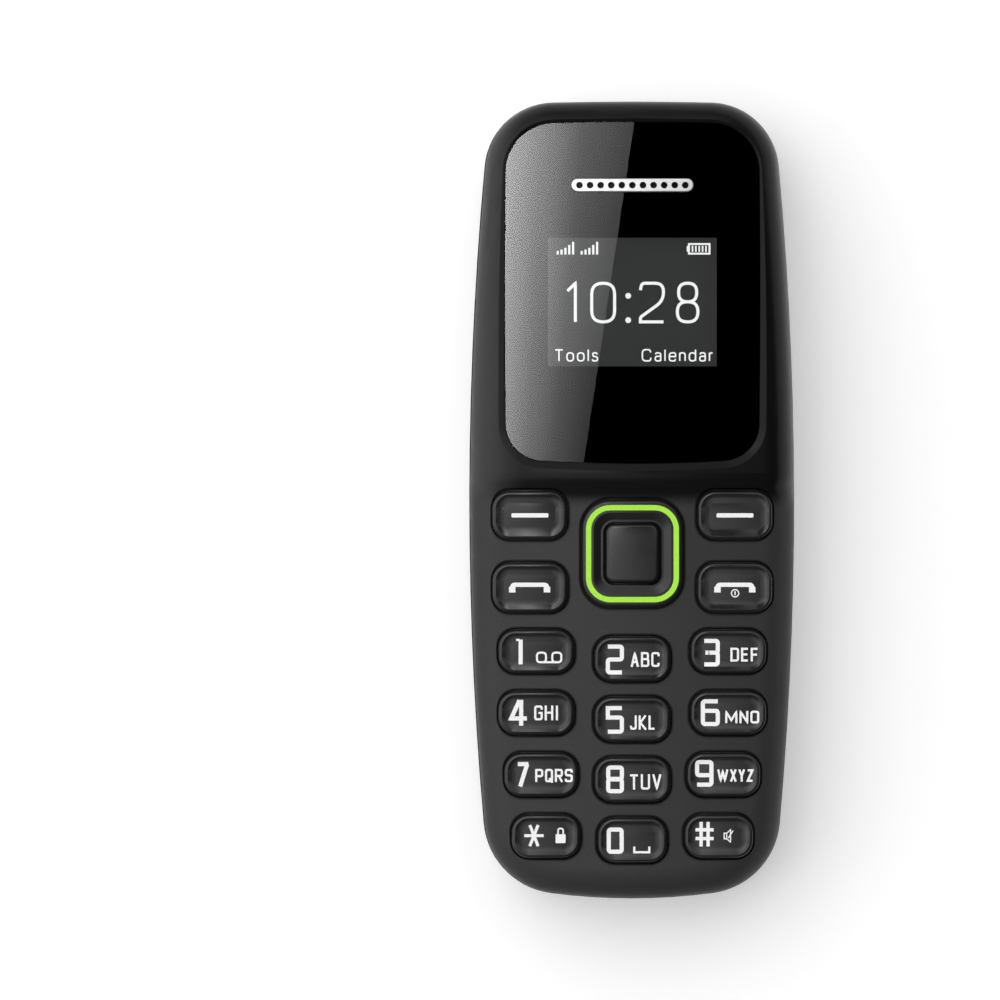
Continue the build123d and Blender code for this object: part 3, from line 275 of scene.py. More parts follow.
def rippled(name, colour, rim_shade_colour):
    """The cover's moulded grain: low ripples, longer than they are high, with painted shade
    darkening the sides.
    """
    paint = Paint(name)
    level = paint.axes(paint.place())[2]
    # Painted shade: the rolled sides darken away from the back face
    rim_shade = paint.step(level, COVER_PLAIN_LEVEL, COVER_FULL_SHADE_LEVEL)
    ridge = paint.noise(1, 2, 0.5, stretch=RIPPLE_STRETCH, twist=0.5)
    crest = paint.step(ridge, 0.3, 0.7)
    tooth = paint.noise(7, 2, 0.6)
    worn = paint.step(paint.noise(0.16, 4, 0.6, twist=0.4), 0.5, 0.75)
    tone = paint.between(crest, scaled(colour, 0.9), scaled(colour, 1.08))
    polished = paint.between(0.6 * worn, tone, scaled(colour, 1.25))
    return paint.done(
        paint.skin(
            Base_Color=paint.between(0.92 * rim_shade, polished, rim_shade_colour),
            Roughness=0.46 - 0.06 * crest - 0.04 * worn + 0.06 * tooth,
            Specular_IOR_Level=0.2,
            Normal=paint.relief(crest + 0.12 * tooth, RIPPLE_DEPTH),
        )
    )


# How far the shading of a key swells along and across it, and its smears' depth, in millimetres
SWELL_WIDE, SWELL_HIGH = 0.9, 0.56
SMEAR_DEPTH = 0.001


def key_finish(name, colour, roughness):
    """Hard glossy key plastic with finger wear and hair scratches."""
    paint = Paint(name)
    haze = paint.noise(0.5, 3, 0.55)
    smear = paint.noise(1.1, 4, 0.65, stretch=(1, 0.35, 1), twist=0.8)
    scratch = paint.step(paint.noise(3, 1, 0.5, stretch=(0.15, 5, 1), twist=0.2), 0.66, 0.7)
    along, up, _ = paint.axes(paint.node("ShaderNodeTexCoord", None, None, "Generated"))
    swell = SWELL_WIDE * (along - 0.5) ** 2 + SWELL_HIGH * (up - 0.5) ** 2
    return paint.done(
        paint.skin(
            Base_Color=paint.between(haze, scaled(colour, 0.82), scaled(colour, 1.18)),
            Roughness=roughness + 0.07 * smear + 0.1 * scratch,
            Specular_IOR_Level=0.42,
            Normal=paint.relief(SMEAR_DEPTH * smear - swell, 1),
        )
    )


def lens(name):
    """Clear window plastic, with faint wipe marks."""
    paint = Paint(name)
    wipes = paint.noise(0.8, 4, 0.6, stretch=(0.3, 1, 1), twist=0.7)
    return paint.done(
        paint.skin(
            Base_Color=paint.between(wipes, (0.93, 0.95, 0.95, 1), (0.99, 1, 1, 1)),
            Roughness=0.012 * wipes,
            IOR=1.49,
            Transmission_Weight=1,
            Normal=paint.relief(wipes, 0.0004),
        )
    )


def film(name, colour, roughness, sheen=0):
    """Thin printed or laminated film, slightly uneven, with tiny dust marks."""
    paint = Paint(name)
    sag = paint.noise(0.22, 2, 0.5)
    dust = paint.step(paint.cells(0.9), 0.015, 0.04)
    tone = paint.between(sag, scaled(colour, 0.85), scaled(colour, 1.15))
    return paint.done(
        paint.skin(
            Base_Color=paint.between(dust, scaled(colour, 2), tone),
            Roughness=roughness + 0.1 * (sag - 0.5),
            Coat_Weight=sheen,
            Normal=paint.relief(sag, 0.01),
        )
    )


def metal(name, colour, roughness, line, along=(0.06, 1, 1), stain=0.15):
    """Drawn or rolled metal: fine lines one way, dull stains and a few pits."""
    paint = Paint(name)
    lines = paint.noise(line, 3, 0.7, stretch=along)
    stains = paint.step(paint.noise(0.4, 4, 0.6, twist=0.5), 0.45, 0.75)
    pits = paint.step(paint.cells(1.4), 0.02, 0.07)
    bright = paint.between(lines, scaled(colour, 0.82), scaled(colour, 1.08))
    dull = paint.between(stain * stains, bright, scaled(colour, 0.45))
    return paint.done(
        paint.skin(
            Base_Color=paint.between(pits, scaled(colour, 0.4), dull),
            Metallic=0.92 + 0.08 * pits,
            Roughness=roughness + 0.12 * lines + 0.15 * stains,
            Normal=paint.relief(lines + 0.5 * pits, 0.004),
        )
    )


def soft(name, colour, roughness, pore, depth, sheen=0):
    """Foam, rubber or glue: open pores and a dull skin. The pores' size is in millimetres."""
    paint = Paint(name)
    pores = paint.cells(1 / pore)
    cloud = paint.noise(0.5, 3, 0.6)
    tone = paint.between(pores, scaled(colour, 0.6), scaled(colour, 1.15))
    return paint.done(
        paint.skin(
            Base_Color=paint.between(0.4 * cloud, tone, scaled(colour, 0.75)),
            Roughness=roughness - 0.12 * cloud,
            Coat_Weight=sheen,
            Normal=paint.relief(pores, depth),
        )
    )


def circuit(name, mask, copper):
    """A board's varnish over copper tracks and filled holes, with a printed weave."""
    paint = Paint(name)
    tracks = paint.node(
        "ShaderNodeTexBrick",
        {"offset": 0.37, "squash": 1.6, "squash_frequency": 3},
        {
            "Vector": paint.place(),
            "Scale": 0.55,
            "Mortar Size": 0.05,
            "Brick Width": 2.3,
            "Row Height": 0.42,
        },
        "Fac",
    )
    holes = paint.step(paint.cells(0.7), 0.09, 0.12, 1, 0)
    weave = paint.noise(6, 1, 0.5, stretch=(1, 0.2, 1))
    varnish = paint.between(weave, scaled(mask, 0.85), scaled(mask, 1.1))
    raised = paint.between(tracks, varnish, scaled(mask, 1.9))
    return paint.done(
        paint.skin(
            Base_Color=paint.between(holes, raised, copper),
            Metallic=0.8 * holes,
            Roughness=0.34 + 0.1 * weave - 0.08 * tracks,
            Normal=paint.relief(tracks + 0.3 * weave - 0.6 * holes, 0.03),
        )
    )


def lit_panel(name, colour):
    """The display: a dark lit ground made of small cells, slightly uneven."""
    paint = Paint(name)
    cells = paint.node(
        "ShaderNodeTexBrick",
        {"offset": 0, "squash": 1},
        {"Vector": paint.place(), "Scale": 8, "Mortar Size": 0.04},
        "Fac",
    )
    spread = paint.noise(0.12, 1, 0.5)
    ground = paint.between(spread, scaled(colour, 0.94), scaled(colour, 1.06))
    return paint.done(
        paint.skin(
            Base_Color=(0.002, 0.002, 0.002, 1),
            Roughness=0.25 + 0.05 * cells,
            Specular_IOR_Level=0.1,
            Emission_Color=paint.between(0.25 * cells, ground, scaled(colour, 0.4)),
            Emission_Strength=1,
            Normal=paint.relief(1 - cells, 0.004),
        )
    )


def lit_line(name, colour):
    """Lines of light on the display, with a slight unevenness."""
    paint = Paint(name)
    cells = paint.noise(3, 1, 0.5)
    return paint.done(
        paint.skin(
            Base_Color=(0.02, 0.02, 0.02, 1),
            Roughness=0.4 + 0.1 * cells,
            Emission_Color=paint.between(cells, scaled(colour, 0.93), colour),
            Emission_Strength=1,
        )
    )


def ink(name, colour):
    """Printed white, slightly worn, with the tooth of the screen it came through."""
    paint = Paint(name)
    tooth = paint.noise(5, 2, 0.6)
    worn = paint.step(paint.noise(0.9, 4, 0.7), 0.62, 0.8)
    tone = paint.between(tooth, scaled(colour, 0.92), colour)
    return paint.done(
        paint.skin(
            Base_Color=paint.between(0.25 * worn, tone, scaled(colour, 0.7)),
            Roughness=0.45 + 0.15 * tooth,
            Normal=paint.relief(tooth, 0.003),
        )
    )


SHELL_BLACK = grey(58)
# Painted shade above the keys
SURROUND_SHADE_BLACK = grey(16)
# Painted shade on the rolled sides of both shells
RIM_SHADE_BLACK = grey(24)
BACK_BLACK = grey(48)
CHASSIS_BLACK = grey(34)
KEY_BLACK = grey(24)
RING_GREEN = shade(176, 250, 52)
SILVER = grey(206)
SCREEN_GROUND = grey(51)
LEGEND_WHITE = grey(252)

finishes = {
    "front_shell": front_face("front_shell_satin_painted_shade", SHELL_BLACK, SURROUND_SHADE_BLACK, RIM_SHADE_BLACK),
    "back_shell": rippled("back_shell_rippled_painted_shade", BACK_BLACK, RIM_SHADE_BLACK),
    "chassis": moulded("chassis_black", CHASSIS_BLACK, 0.5, 0.2, 0.01),
    "clear_lens": lens("window_lens"),
    "black_film": film("window_black_print", grey(6), 0.3),
    "glue": soft("window_glue_strip", grey(150), 0.4, 0.5, 0.01, 0.3),
    "silver_trim": metal("earpiece_silver", SILVER, 0.32, 5),
    "foam": soft("grey_foam", grey(70), 0.9, 0.22, 0.05),
    "screen": lit_panel("display_ground", SCREEN_GROUND),
    "light_plate": film("light_plate_white", grey(225), 0.3, 0.4),
    "display_frame": moulded("display_frame_pale", grey(190), 0.5, 0.25, 0.008),
    "flex": film("flex_amber", shade(150, 92, 30), 0.25, 0.6),
    "key_cap": key_finish("key_black_gloss", KEY_BLACK, 0.16),
    "nav_pad": key_finish("nav_pad_black", KEY_BLACK, 0.28),
    "green_ring": moulded("ring_green", RING_GREEN, 0.3, 0.3, 0.003, 0.05),
    "board": circuit("board_varnish", shade(16, 74, 48), shade(214, 158, 84)),
    "sheet_film": film("dome_sheet_clear", grey(205), 0.3, 0.5),
    "dome_metal": metal("dome_steel", grey(205), 0.22, 6),
    "silicone": soft("key_mat_silicone", grey(168), 0.5, 0.4, 0.006, 0.2),
    "led": moulded("led_body", shade(238, 232, 205), 0.35, 0.2, 0.004, 0.06),
    "steel": metal("pressed_steel", grey(190), 0.26, 4, (1, 0.08, 1)),
    "chip": moulded("chip_resin", grey(36), 0.48, 0.12, 0.006),
    "gold": metal("contact_gold", shade(232, 186, 96), 0.2, 5),
    "battery_wrap": film("battery_wrap_grey", grey(62), 0.34, 0.3),
    "speaker_case": moulded("speaker_case_black", grey(46), 0.42, 0.18, 0.008),
    "screw_steel": metal("screw_steel_dark", grey(150), 0.3, 7, (1, 1, 0.1)),
    "sound_plate": metal("sound_plate_grey", grey(84), 0.5, 4, (1, 0.1, 1), 0.3),
}
legend_ink = ink("legend_white", LEGEND_WHITE)
screen_light = lit_line("screen_white", grey(255))

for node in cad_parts.values():
    for material_slot in node.material_slots:
        material_slot.material = finishes[material_slot.material.name]


# Drawn lines: legends and the signs on the display


# How arcs and ribbons are drawn. The longest stretch and the lifts are in millimetres
LONGEST_ARC_SHARE = 0.48
ARC_STEPS = 5
LONGEST_STRETCH = 0.22
SHARPEST_MITRE = 0.55
LAYER_LIFT = 0.002
ROW_LIFT = 0.0001
KEY_PRINT_LIFT = 0.012
SCREEN_PRINT_LIFT = 0.02


def rounded(points, radius):
    """The points of a line, with an arc at each corner that carries a third value."""
    closed = points[0] == points[-1] and len(points) > 2
    stops = points[:-1] if closed else points
    line = []
    for index, point in enumerate(stops):
        here = Vector(point[:2])
        ends = index in (0, len(stops) - 1) and not closed
        if len(point) < 3 or ends:
            line.append(here)
            continue
        back = Vector(stops[index - 1][:2]) - here
        on = Vector(stops[(index + 1) % len(stops)][:2]) - here
        longest = LONGEST_ARC_SHARE * min(back.length, on.length)
        reach = min(radius * point[2], longest)
        start, end = here + reach * back.normalized(), here + reach * on.normalized()
        for turn in range(ARC_STEPS + 1):
            t = turn / ARC_STEPS
            line.append((1 - t) ** 2 * start + 2 * t * (1 - t) * here + t * t * end)
    return line, closed


def split(line, closed):
    """The same line in stretches short enough to follow the piece below it."""
    ends = line[1:] + line[:1] if closed else line[1:]
    points = []
    for start, end in zip(line, ends):
        count = max(1, round((end - start).length / LONGEST_STRETCH))
        points += [start.lerp(end, part / count) for part in range(count)]
    return points if closed else points + [line[-1]]


def ribbon(line, closed, width):
    """Points across a drawn line: its left side, its middle and its right side."""
    rows = []
    for index, point in enumerate(line):
        before = line[index - 1] if index or closed else None
        after = line[(index + 1) % len(line)] if index < len(line) - 1 or closed else None
        arms = [(point - before).normalized()] if before is not None else []
        arms += [(after - point).normalized()] if after is not None else []
        along = sum(arms, Vector((0, 0))).normalized()
        side = Vector((-along.y, along.x))
        stretch = max(SHARPEST_MITRE, abs(side.dot(Vector((-arms[0].y, arms[0].x)))))
        rows.append([point + side * (width / 2 / stretch) * share for share in (1, 0, -1)])
    return rows


class Print:
    """Flat lines and patches laid on top of a piece, gathered into one mesh."""

    def __init__(self, name, carrier, body, material, slot, lift):
        self.name, self.body, self.material = name, body, material
        self.slot, self.lift = slot, lift
        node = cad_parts[carrier]
        self.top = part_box(carrier)[1].z + MM
        self.surface = BVHTree.FromPolygons(
            [vertex.co for vertex in node.data.vertices],
            [polygon.vertices[:] for polygon in node.data.polygons],
        )
        self.points, self.faces, self.layer = [], [], 0

    def drop(self, point, row=0):
        """The point, in millimetres, laid on the carrier just below it."""
        above = Vector((point.x * MM, point.y * MM, self.top))
        hit = self.surface.ray_cast(above, Vector((0, 0, -1)))[0]
        lift = self.lift + LAYER_LIFT * self.layer + ROW_LIFT * row
        return hit + Vector((0, 0, lift * MM))

    def line(self, points, width, radius=0):
        """A drawn line of a width, all in millimetres."""
        self.layer += 1
        path, closed = rounded(points, radius)
        rows = ribbon(split(path, closed), closed, width)
        first = len(self.points)
        for index, row in enumerate(rows):
            self.points += [self.drop(point, index) for point in row]
        for row in range(len(rows) if closed else len(rows) - 1):
            here, there = first + 3 * row, first + 3 * ((row + 1) % len(rows))
            for column in (0, 1):
                corners = (here + column, here + column + 1, there + column + 1, there + column)
                self.faces.append(corners)

    def patch(self, points, radius=0):
        """A filled shape, given by its outline in millimetres."""
        self.layer += 1
        path, _ = rounded(points + [points[0]], radius)
        middle = sum(path, Vector((0, 0))) / len(path)
        first = len(self.points)
        self.points += [self.drop(point) for point in path] + [self.drop(middle)]
        count = len(path)
        for index in range(count):
            self.faces.append((first + index, first + (index + 1) % count, first + count))

    def finish(self):
        """Makes the mesh, face up, and lets it ride on its body."""
        mesh = bpy.data.meshes.new(self.name)
        mesh.from_pydata(self.points, [], self.faces)
        mesh.materials.append(self.material)
        for polygon in [polygon for polygon in mesh.polygons if polygon.normal.z < 0]:
            polygon.flip()
        piece = bpy.data.objects.new(self.name, mesh)
        bpy.context.scene.collection.objects.link(piece)
        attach(piece, self.body)


# Shapes of the drawn signs, each in a box one wide and one high. A third value rounds a corner.
RING = [(0, 0, 1), (0, 1, 1), (1, 1, 1), (1, 0, 1), (0, 0, 1)]
SIGNS = {
    "0": [RING],
    "1": [[(1, 1.06), (1, -0.08)]],
    "2": [[(0, 1), (1, 1, 1), (1, 0.5, 1), (0, 0.5, 1), (0, 0, 1), (1, 0)]],
    "3": [
        [(0, 1), (1, 1, 1), (1, 0.5, 1), (0.08, 0.5)],
        [(0.3, 0.5), (1, 0.5, 1), (1, 0, 1), (0, 0)],
    ],
    "4": [[(0.56, 1.08), (0, 0.24), (1.05, 0.24)], [(0.67, 1.09), (0.67, -0.09)]],
    "5": [[(1, 1), (0, 1), (0, 0.6), (1, 0.6, 1), (1, 0, 1), (0, 0)]],
    "6": [[(1, 1), (0, 1, 1), (0, 0, 1), (1, 0, 1), (1, 0.58, 1), (0, 0.58)]],
    "7": [[(0, 1), (1, 1)], [(0.88, 1), (0.22, -0.03)]],
    "8": [
        [(0, 0.52, 1), (0, 1, 1), (1, 1, 1), (1, 0.52, 1), (0, 0.52, 1)],
        [(0, 0, 1), (0, 0.5, 1), (1, 0.5, 1), (1, 0, 1), (0, 0, 1)],
    ],
    "9": [[(0, 0), (1, 0, 1), (1, 1, 1), (0, 1, 1), (0, 0.42, 1), (1, 0.42)]],
    "star": [
        [(-0.08, 0.5), (1.08, 0.5)],
        [(0.25, 1.06), (0.75, -0.06)],
        [(0.75, 1.06), (0.25, -0.06)],
    ],
    "hash": [
        [(0.27, -0.09), (0.27, 1.09)],
        [(0.73, -0.09), (0.73, 1.09)],
        [(-0.1, 0.71), (1.1, 0.71)],
        [(-0.1, 0.29), (1.1, 0.29)],
    ],
    "A": [[(0, -0.08), (0.5, 1), (1, -0.08)], [(0.2, 0.3), (0.8, 0.3)]],
    "B": [
        [(0, 0.53), (0, 1), (0.94, 1, 1), (0.94, 0.53, 1), (0, 0.53)],
        [(0, 0), (0, 0.53), (1, 0.53, 1), (1, 0, 1), (0, 0)],
    ],
    "C": [[(1, 0.76), (1, 1, 1), (0, 1, 1), (0, 0, 1), (1, 0, 1), (1, 0.24)]],
    "D": [[(0, 0), (0, 1), (1, 1, 1), (1, 0, 1), (0, 0)]],
    "E": [[(1.05, 1), (0, 1), (0, 0), (1.05, 0)], [(0, 0.52), (0.95, 0.52)]],
    "F": [[(1.05, 1), (0, 1), (0, -0.08)], [(0, 0.5), (0.95, 0.5)]],
    "G": [[(1, 0.76), (1, 1, 1), (0, 1, 1), (0, 0, 1), (1, 0, 1), (1, 0.5), (0.5, 0.5)]],
    "H": [[(0, -0.08), (0, 1.08)], [(1, -0.08), (1, 1.08)], [(0, 0.52), (1, 0.52)]],
    "I": [[(0.5, -0.08), (0.5, 1.08)]],
    "J": [[(1, 1.08), (1, 0, 1), (0, 0, 1), (0, 0.24)]],
    "K": [[(0, -0.08), (0, 1.08)], [(1, 1.08), (0.1, 0.5), (1.05, -0.08)]],
    "L": [[(0, 1.08), (0, 0), (1, 0)]],
    "M": [[(0, -0.08), (0, 1), (0.5, 0.2), (1, 1), (1, -0.08)]],
    "N": [[(0, -0.08), (0, 1), (1, 0), (1, 1.08)]],
    "O": [RING],
    "P": [[(0, -0.08), (0, 1), (1, 1, 1), (1, 0.44, 1), (0, 0.44)]],
    "Q": [RING, [(0.55, 0.28), (1.08, -0.14)]],
    "R": [
        [(0, -0.08), (0, 1), (1, 1, 1), (1, 0.46, 1), (0, 0.46)],
        [(0.5, 0.46), (1.04, -0.08)],
    ],
    "S": [
        [
            (1, 0.78), (1, 1, 1), (0, 1, 1), (0, 0.52, 1),
            (1, 0.52, 1), (1, 0, 1), (0, 0, 1), (0, 0.22),
        ],
    ],
    "T": [[(-0.05, 1), (1.05, 1)], [(0.5, 1), (0.5, -0.08)]],
    "U": [[(0, 1.08), (0, 0, 1), (1, 0, 1), (1, 1.08)]],
    "V": [[(0, 1.08), (0.5, 0), (1, 1.08)]],
    "W": [[(0, 1.08), (0.27, 0), (0.5, 0.95), (0.73, 0), (1, 1.08)]],
    "X": [[(0, 1.08), (1, -0.08)], [(1, 1.08), (0, -0.08)]],
    "Y": [[(0, 1.08), (0.5, 0.45), (1, 1.08)], [(0.5, 0.5), (0.5, -0.08)]],
    "Z": [[(0, 1), (1, 1), (0, 0), (1, 0)]],
}

# How wide the letters are where not one, then the gap between two, and corners in millimetres
LETTER_WIDTHS = {"I": 0.2, "J": 0.8, "L": 0.85, "M": 1.5, "W": 1.9, "E": 0.85, "F": 0.85}
LETTER_GAP = 0.31
DIGIT_CORNER = 0.22
LETTER_CORNER = 0.16


def shape(sheet, paths, box, width, corner):
    """Draws lines so that their outer edges fill the box: left, bottom, right, top."""
    left, low, right, high = box
    half = width / 2
    across, up = right - left - width, high - low - width
    for path in paths:
        points = [(left + half + p[0] * across, low + half + p[1] * up, *p[2:]) for p in path]
        sheet.line(points, width, corner)


def word(sheet, letters, box, width):
    """Draws letters side by side over the whole width of the box."""
    left, low, right, high = box
    shares = [LETTER_WIDTHS.get(letter, 1) for letter in letters]
    room = right - left - width * len(letters)
    unit = room / (sum(shares) + LETTER_GAP * (len(letters) - 1))
    for letter, share in zip(letters, shares):
        step = share * unit + width
        shape(sheet, SIGNS[letter], (left, low, left + step, high), width, LETTER_CORNER)
        left += step + LETTER_GAP * unit


# How thick the lines are, in millimetres
DIGIT_LINE = 0.37
LETTER_LINE = 0.19
SYMBOL_LINES = {"star": 0.26, "hash": 0.3}

# Each key's digit and letters, with the box that each one fills: left, bottom, right, top
LEGENDS = {
    "key_1": ("1", (-10.45, -14.80, -9.86, -12.48), "", None),
    "key_2": ("2", (-2.39, -15.68, -0.76, -12.99), "ABC", (-0.16, -15.00, 2.45, -13.67)),
    "key_3": ("3", (6.28, -14.96, 7.86, -12.48), "DEF", (8.81, -14.52, 11.32, -13.28)),
    "key_4": ("4", (-11.08, -20.29, -9.37, -17.96), "GHI", (-8.83, -19.80, -6.63, -18.47)),
    "key_5": ("5", (-2.39, -21.01, -0.76, -18.52), "JKL", (-0.22, -20.65, 2.09, -19.36)),
    "key_6": ("6", (6.15, -20.32, 7.86, -17.91), "MNO", (8.34, -20.08, 11.40, -18.94)),
    "key_7": ("7", (-10.48, -25.87, -9.16, -23.55), "PQRS", (-8.74, -25.36, -5.36, -24.17)),
    "key_8": ("8", (-2.36, -26.36, -0.76, -23.86), "TUV", (-0.27, -26.03, 2.61, -24.65)),
    "key_9": ("9", (5.63, -25.77, 7.29, -23.37), "WXYZ", (7.62, -25.33, 10.89, -24.20)),
    "key_star": ("star", (-9.73, -31.15, -7.97, -29.19), "", None),
    "key_0": ("0", (-2.31, -31.80, -0.78, -29.44), "", None),
    "key_hash": ("hash", (5.66, -31.12, 7.32, -28.95), "", None),
}

# The small signs beside the digits: each line's points, its width and its corner radius
REEL = ((0.07, 0), (0.07, -0.86), (0.88, -0.86), (0.88, 0), (0.07, 0))
SMALL_SIGNS = {
    "key_1": [
        ([(-10.45, -12.58), (-10.14, -12.58)], 0.2, 0),
        ([(-8.65 + x, -13.72 + y, 1) for x, y in REEL], 0.18, 0.3),
        ([(-7.27 + x, -13.72 + y, 1) for x, y in REEL], 0.18, 0.3),
        ([(-8.3, -14.58), (-6.7, -14.58)], 0.18, 0),
    ],
    "key_star": [
        ([(-6.68, -30.14), (-6.68, -29.52, 1), (-6.22, -29.52, 1), (-6.22, -30.14)], 0.14, 0.3),
    ],
    "key_0": [([(0.17, -31.15), (0.17, -31.66), (1.52, -31.66), (1.52, -31.15)], 0.19, 0)],
    "key_hash": [
        ([(8.25, -29.95), (8.25, -30.45), (8.47, -30.45), (8.47, -29.95), (8.25, -29.95)], 0.1, 0),
        ([(8.47, -29.95), (8.82, -29.64), (8.82, -30.74), (8.47, -30.45)], 0.1, 0),
        ([(9.04, -29.72), (8.62, -30.4)], 0.1, 0),
    ],
}
LOCK_BODY = [(-6.9, -30.84), (-6.01, -30.84), (-6.01, -30.05), (-6.9, -30.05)]


def on_key(name):
    """The print on a key."""
    return Print("legend_" + name, name, name, legend_ink, "key_cap", KEY_PRINT_LIFT)


for key_name, (digit, digit_box, letters, letters_box) in LEGENDS.items():
    print_on = on_key(key_name)
    shape(print_on, SIGNS[digit], digit_box, SYMBOL_LINES.get(digit, DIGIT_LINE), DIGIT_CORNER)
    if letters:
        word(print_on, letters, letters_box, LETTER_LINE)
    if key_name == "key_star":
        print_on.patch(LOCK_BODY)
    for points, width, corner in SMALL_SIGNS.get(key_name, ()):
        print_on.line(points, width, corner)
    print_on.finish()

# The bars of the soft keys
BAR_HALF, BAR_LEVEL, BAR_HALF_THICK, BAR_CORNER = 1.66, -1.38, 0.19, 0.12
for key_name, middle in (("left_soft_key", -9.21), ("right_soft_key", 9.22)):
    print_on = on_key(key_name)
    left, right = middle - BAR_HALF, middle + BAR_HALF
    low, high = BAR_LEVEL - BAR_HALF_THICK, BAR_LEVEL + BAR_HALF_THICK
    print_on.patch([(left, low, 1), (right, low, 1), (right, high, 1), (left, high, 1)], BAR_CORNER)
    print_on.finish()


def ring(middle, level, radius, count):
    """Points on a circle, in millimetres."""
    turns = [radians(360 * step / count) for step in range(count)]
    return [(middle + radius * cos(turn), level + radius * sin(turn)) for turn in turns]


# The handsets of the call and end keys, and the small ring with its stroke under the second
HANDSET_HALF = 1.56
HANDSET_LOW, HANDSET_HIGH = -8.29, -7.62
HANDSET_LINE, HANDSET_CORNER = 0.38, 0.24
EAR_LOW, EAR_HIGH, EAR_LINE = -8.31, -7.8, 0.58
RING_X, RING_Y, RING_RADIUS, RING_LINE = 9.23, -8.38, 0.33, 0.1
STROKE_LOW, STROKE_HIGH, STROKE_LINE = -8.56, -8.2, 0.12
for key_name, middle in (("call_key", -9.24), ("end_key", 9.21)):
    print_on = on_key(key_name)
    left, right = middle - HANDSET_HALF, middle + HANDSET_HALF
    shoulders = [(left, HANDSET_HIGH, 1), (right, HANDSET_HIGH, 1)]
    handset = [(left, HANDSET_LOW), *shoulders, (right, HANDSET_LOW)]
    print_on.line(handset, HANDSET_LINE, HANDSET_CORNER)
    for foot in (left, right):
        print_on.line([(foot, EAR_LOW), (foot, EAR_HIGH)], EAR_LINE)
    if key_name == "end_key":
        circle = ring(RING_X, RING_Y, RING_RADIUS, 24)
        print_on.line([*circle, circle[0]], RING_LINE)
        print_on.line([(RING_X, STROKE_HIGH), (RING_X, STROKE_LOW)], STROKE_LINE)
    print_on.finish()


def on_screen(name):
    """The lit lines of a sign on the display."""
    panel = "display_panel"
    return Print(name, panel, "phone_body", screen_light, "screen", SCREEN_PRINT_LIFT)


# The two rows of signal bars
SIGNAL_LOW, SIGNAL_PITCH, SIGNAL_LINE = 22.1, 0.348, 0.19
signal = on_screen("screen_signal")
for start in (-6.71, -4.55):
    for bar, height in enumerate((0.32, 0.44, 0.6, 0.86, 1.14)):
        middle = start + SIGNAL_PITCH * bar
        signal.line([(middle, SIGNAL_LOW), (middle, SIGNAL_LOW + height)], SIGNAL_LINE)
signal.finish()

# The battery sign: its case, its cap and its five bars
CASE_LINE, CELL_LINE = 0.17, 0.14
CELL_START, CELL_PITCH, CELL_LOW, CELL_HIGH = 5.43, 0.303, 22.34, 22.88
charge = on_screen("screen_charge")
case = [(5.11, 22.18), (5.11, 23.04), (6.96, 23.04), (6.96, 22.18), (5.11, 22.18)]
charge.line(case, CASE_LINE)
charge.line([(4.98, 22.36), (4.98, 22.86)], CELL_LINE)
for cell in range(5):
    middle = CELL_START + CELL_PITCH * cell
    charge.line([(middle, CELL_LOW), (middle, CELL_HIGH)], CELL_LINE)
charge.finish()

# The clock's round digits, drawn as the signs above are
CLOCK = {
    "1": [[(0, 0.8), (0.72, 1), (0.72, 0)]],
    "0": [[(1, 1, 9), (1, 0, 9), (0, 0, 9), (0, 1, 9), (1, 1, 9)]],
    "2": [[(0, 0.82), (0.06, 1, 9), (1, 1, 9), (1, 0.55, 9), (0, 0.12, 4), (0, 0), (1, 0)]],
    "8": [
        [(0.94, 1, 9), (0.94, 0.52, 9), (0.06, 0.52, 9), (0.06, 1, 9), (0.94, 1, 9)],
        [(1, 0.52, 9), (1, 0, 9), (0, 0, 9), (0, 0.52, 9), (1, 0.52, 9)],
    ],
}
CLOCK_LOW, CLOCK_HIGH, CLOCK_LINE, CLOCK_CORNER = 15.9, 19.65, 0.27, 0.13
CLOCK_ENDS = ((-5.96, -4.71), (-3.78, -1.45), (0.60, 2.95), (3.93, 6.05))
COLON_X, COLON_RADIUS = -0.36, 0.26
clock = on_screen("screen_clock")
for digit, (left, right) in zip("1028", CLOCK_ENDS):
    box = (left, CLOCK_LOW, right, CLOCK_HIGH)
    shape(clock, CLOCK[digit], box, CLOCK_LINE, CLOCK_CORNER)
for level in (16.19, 18.38):
    clock.patch(ring(COLON_X, level, COLON_RADIUS, 18))
clock.finish()


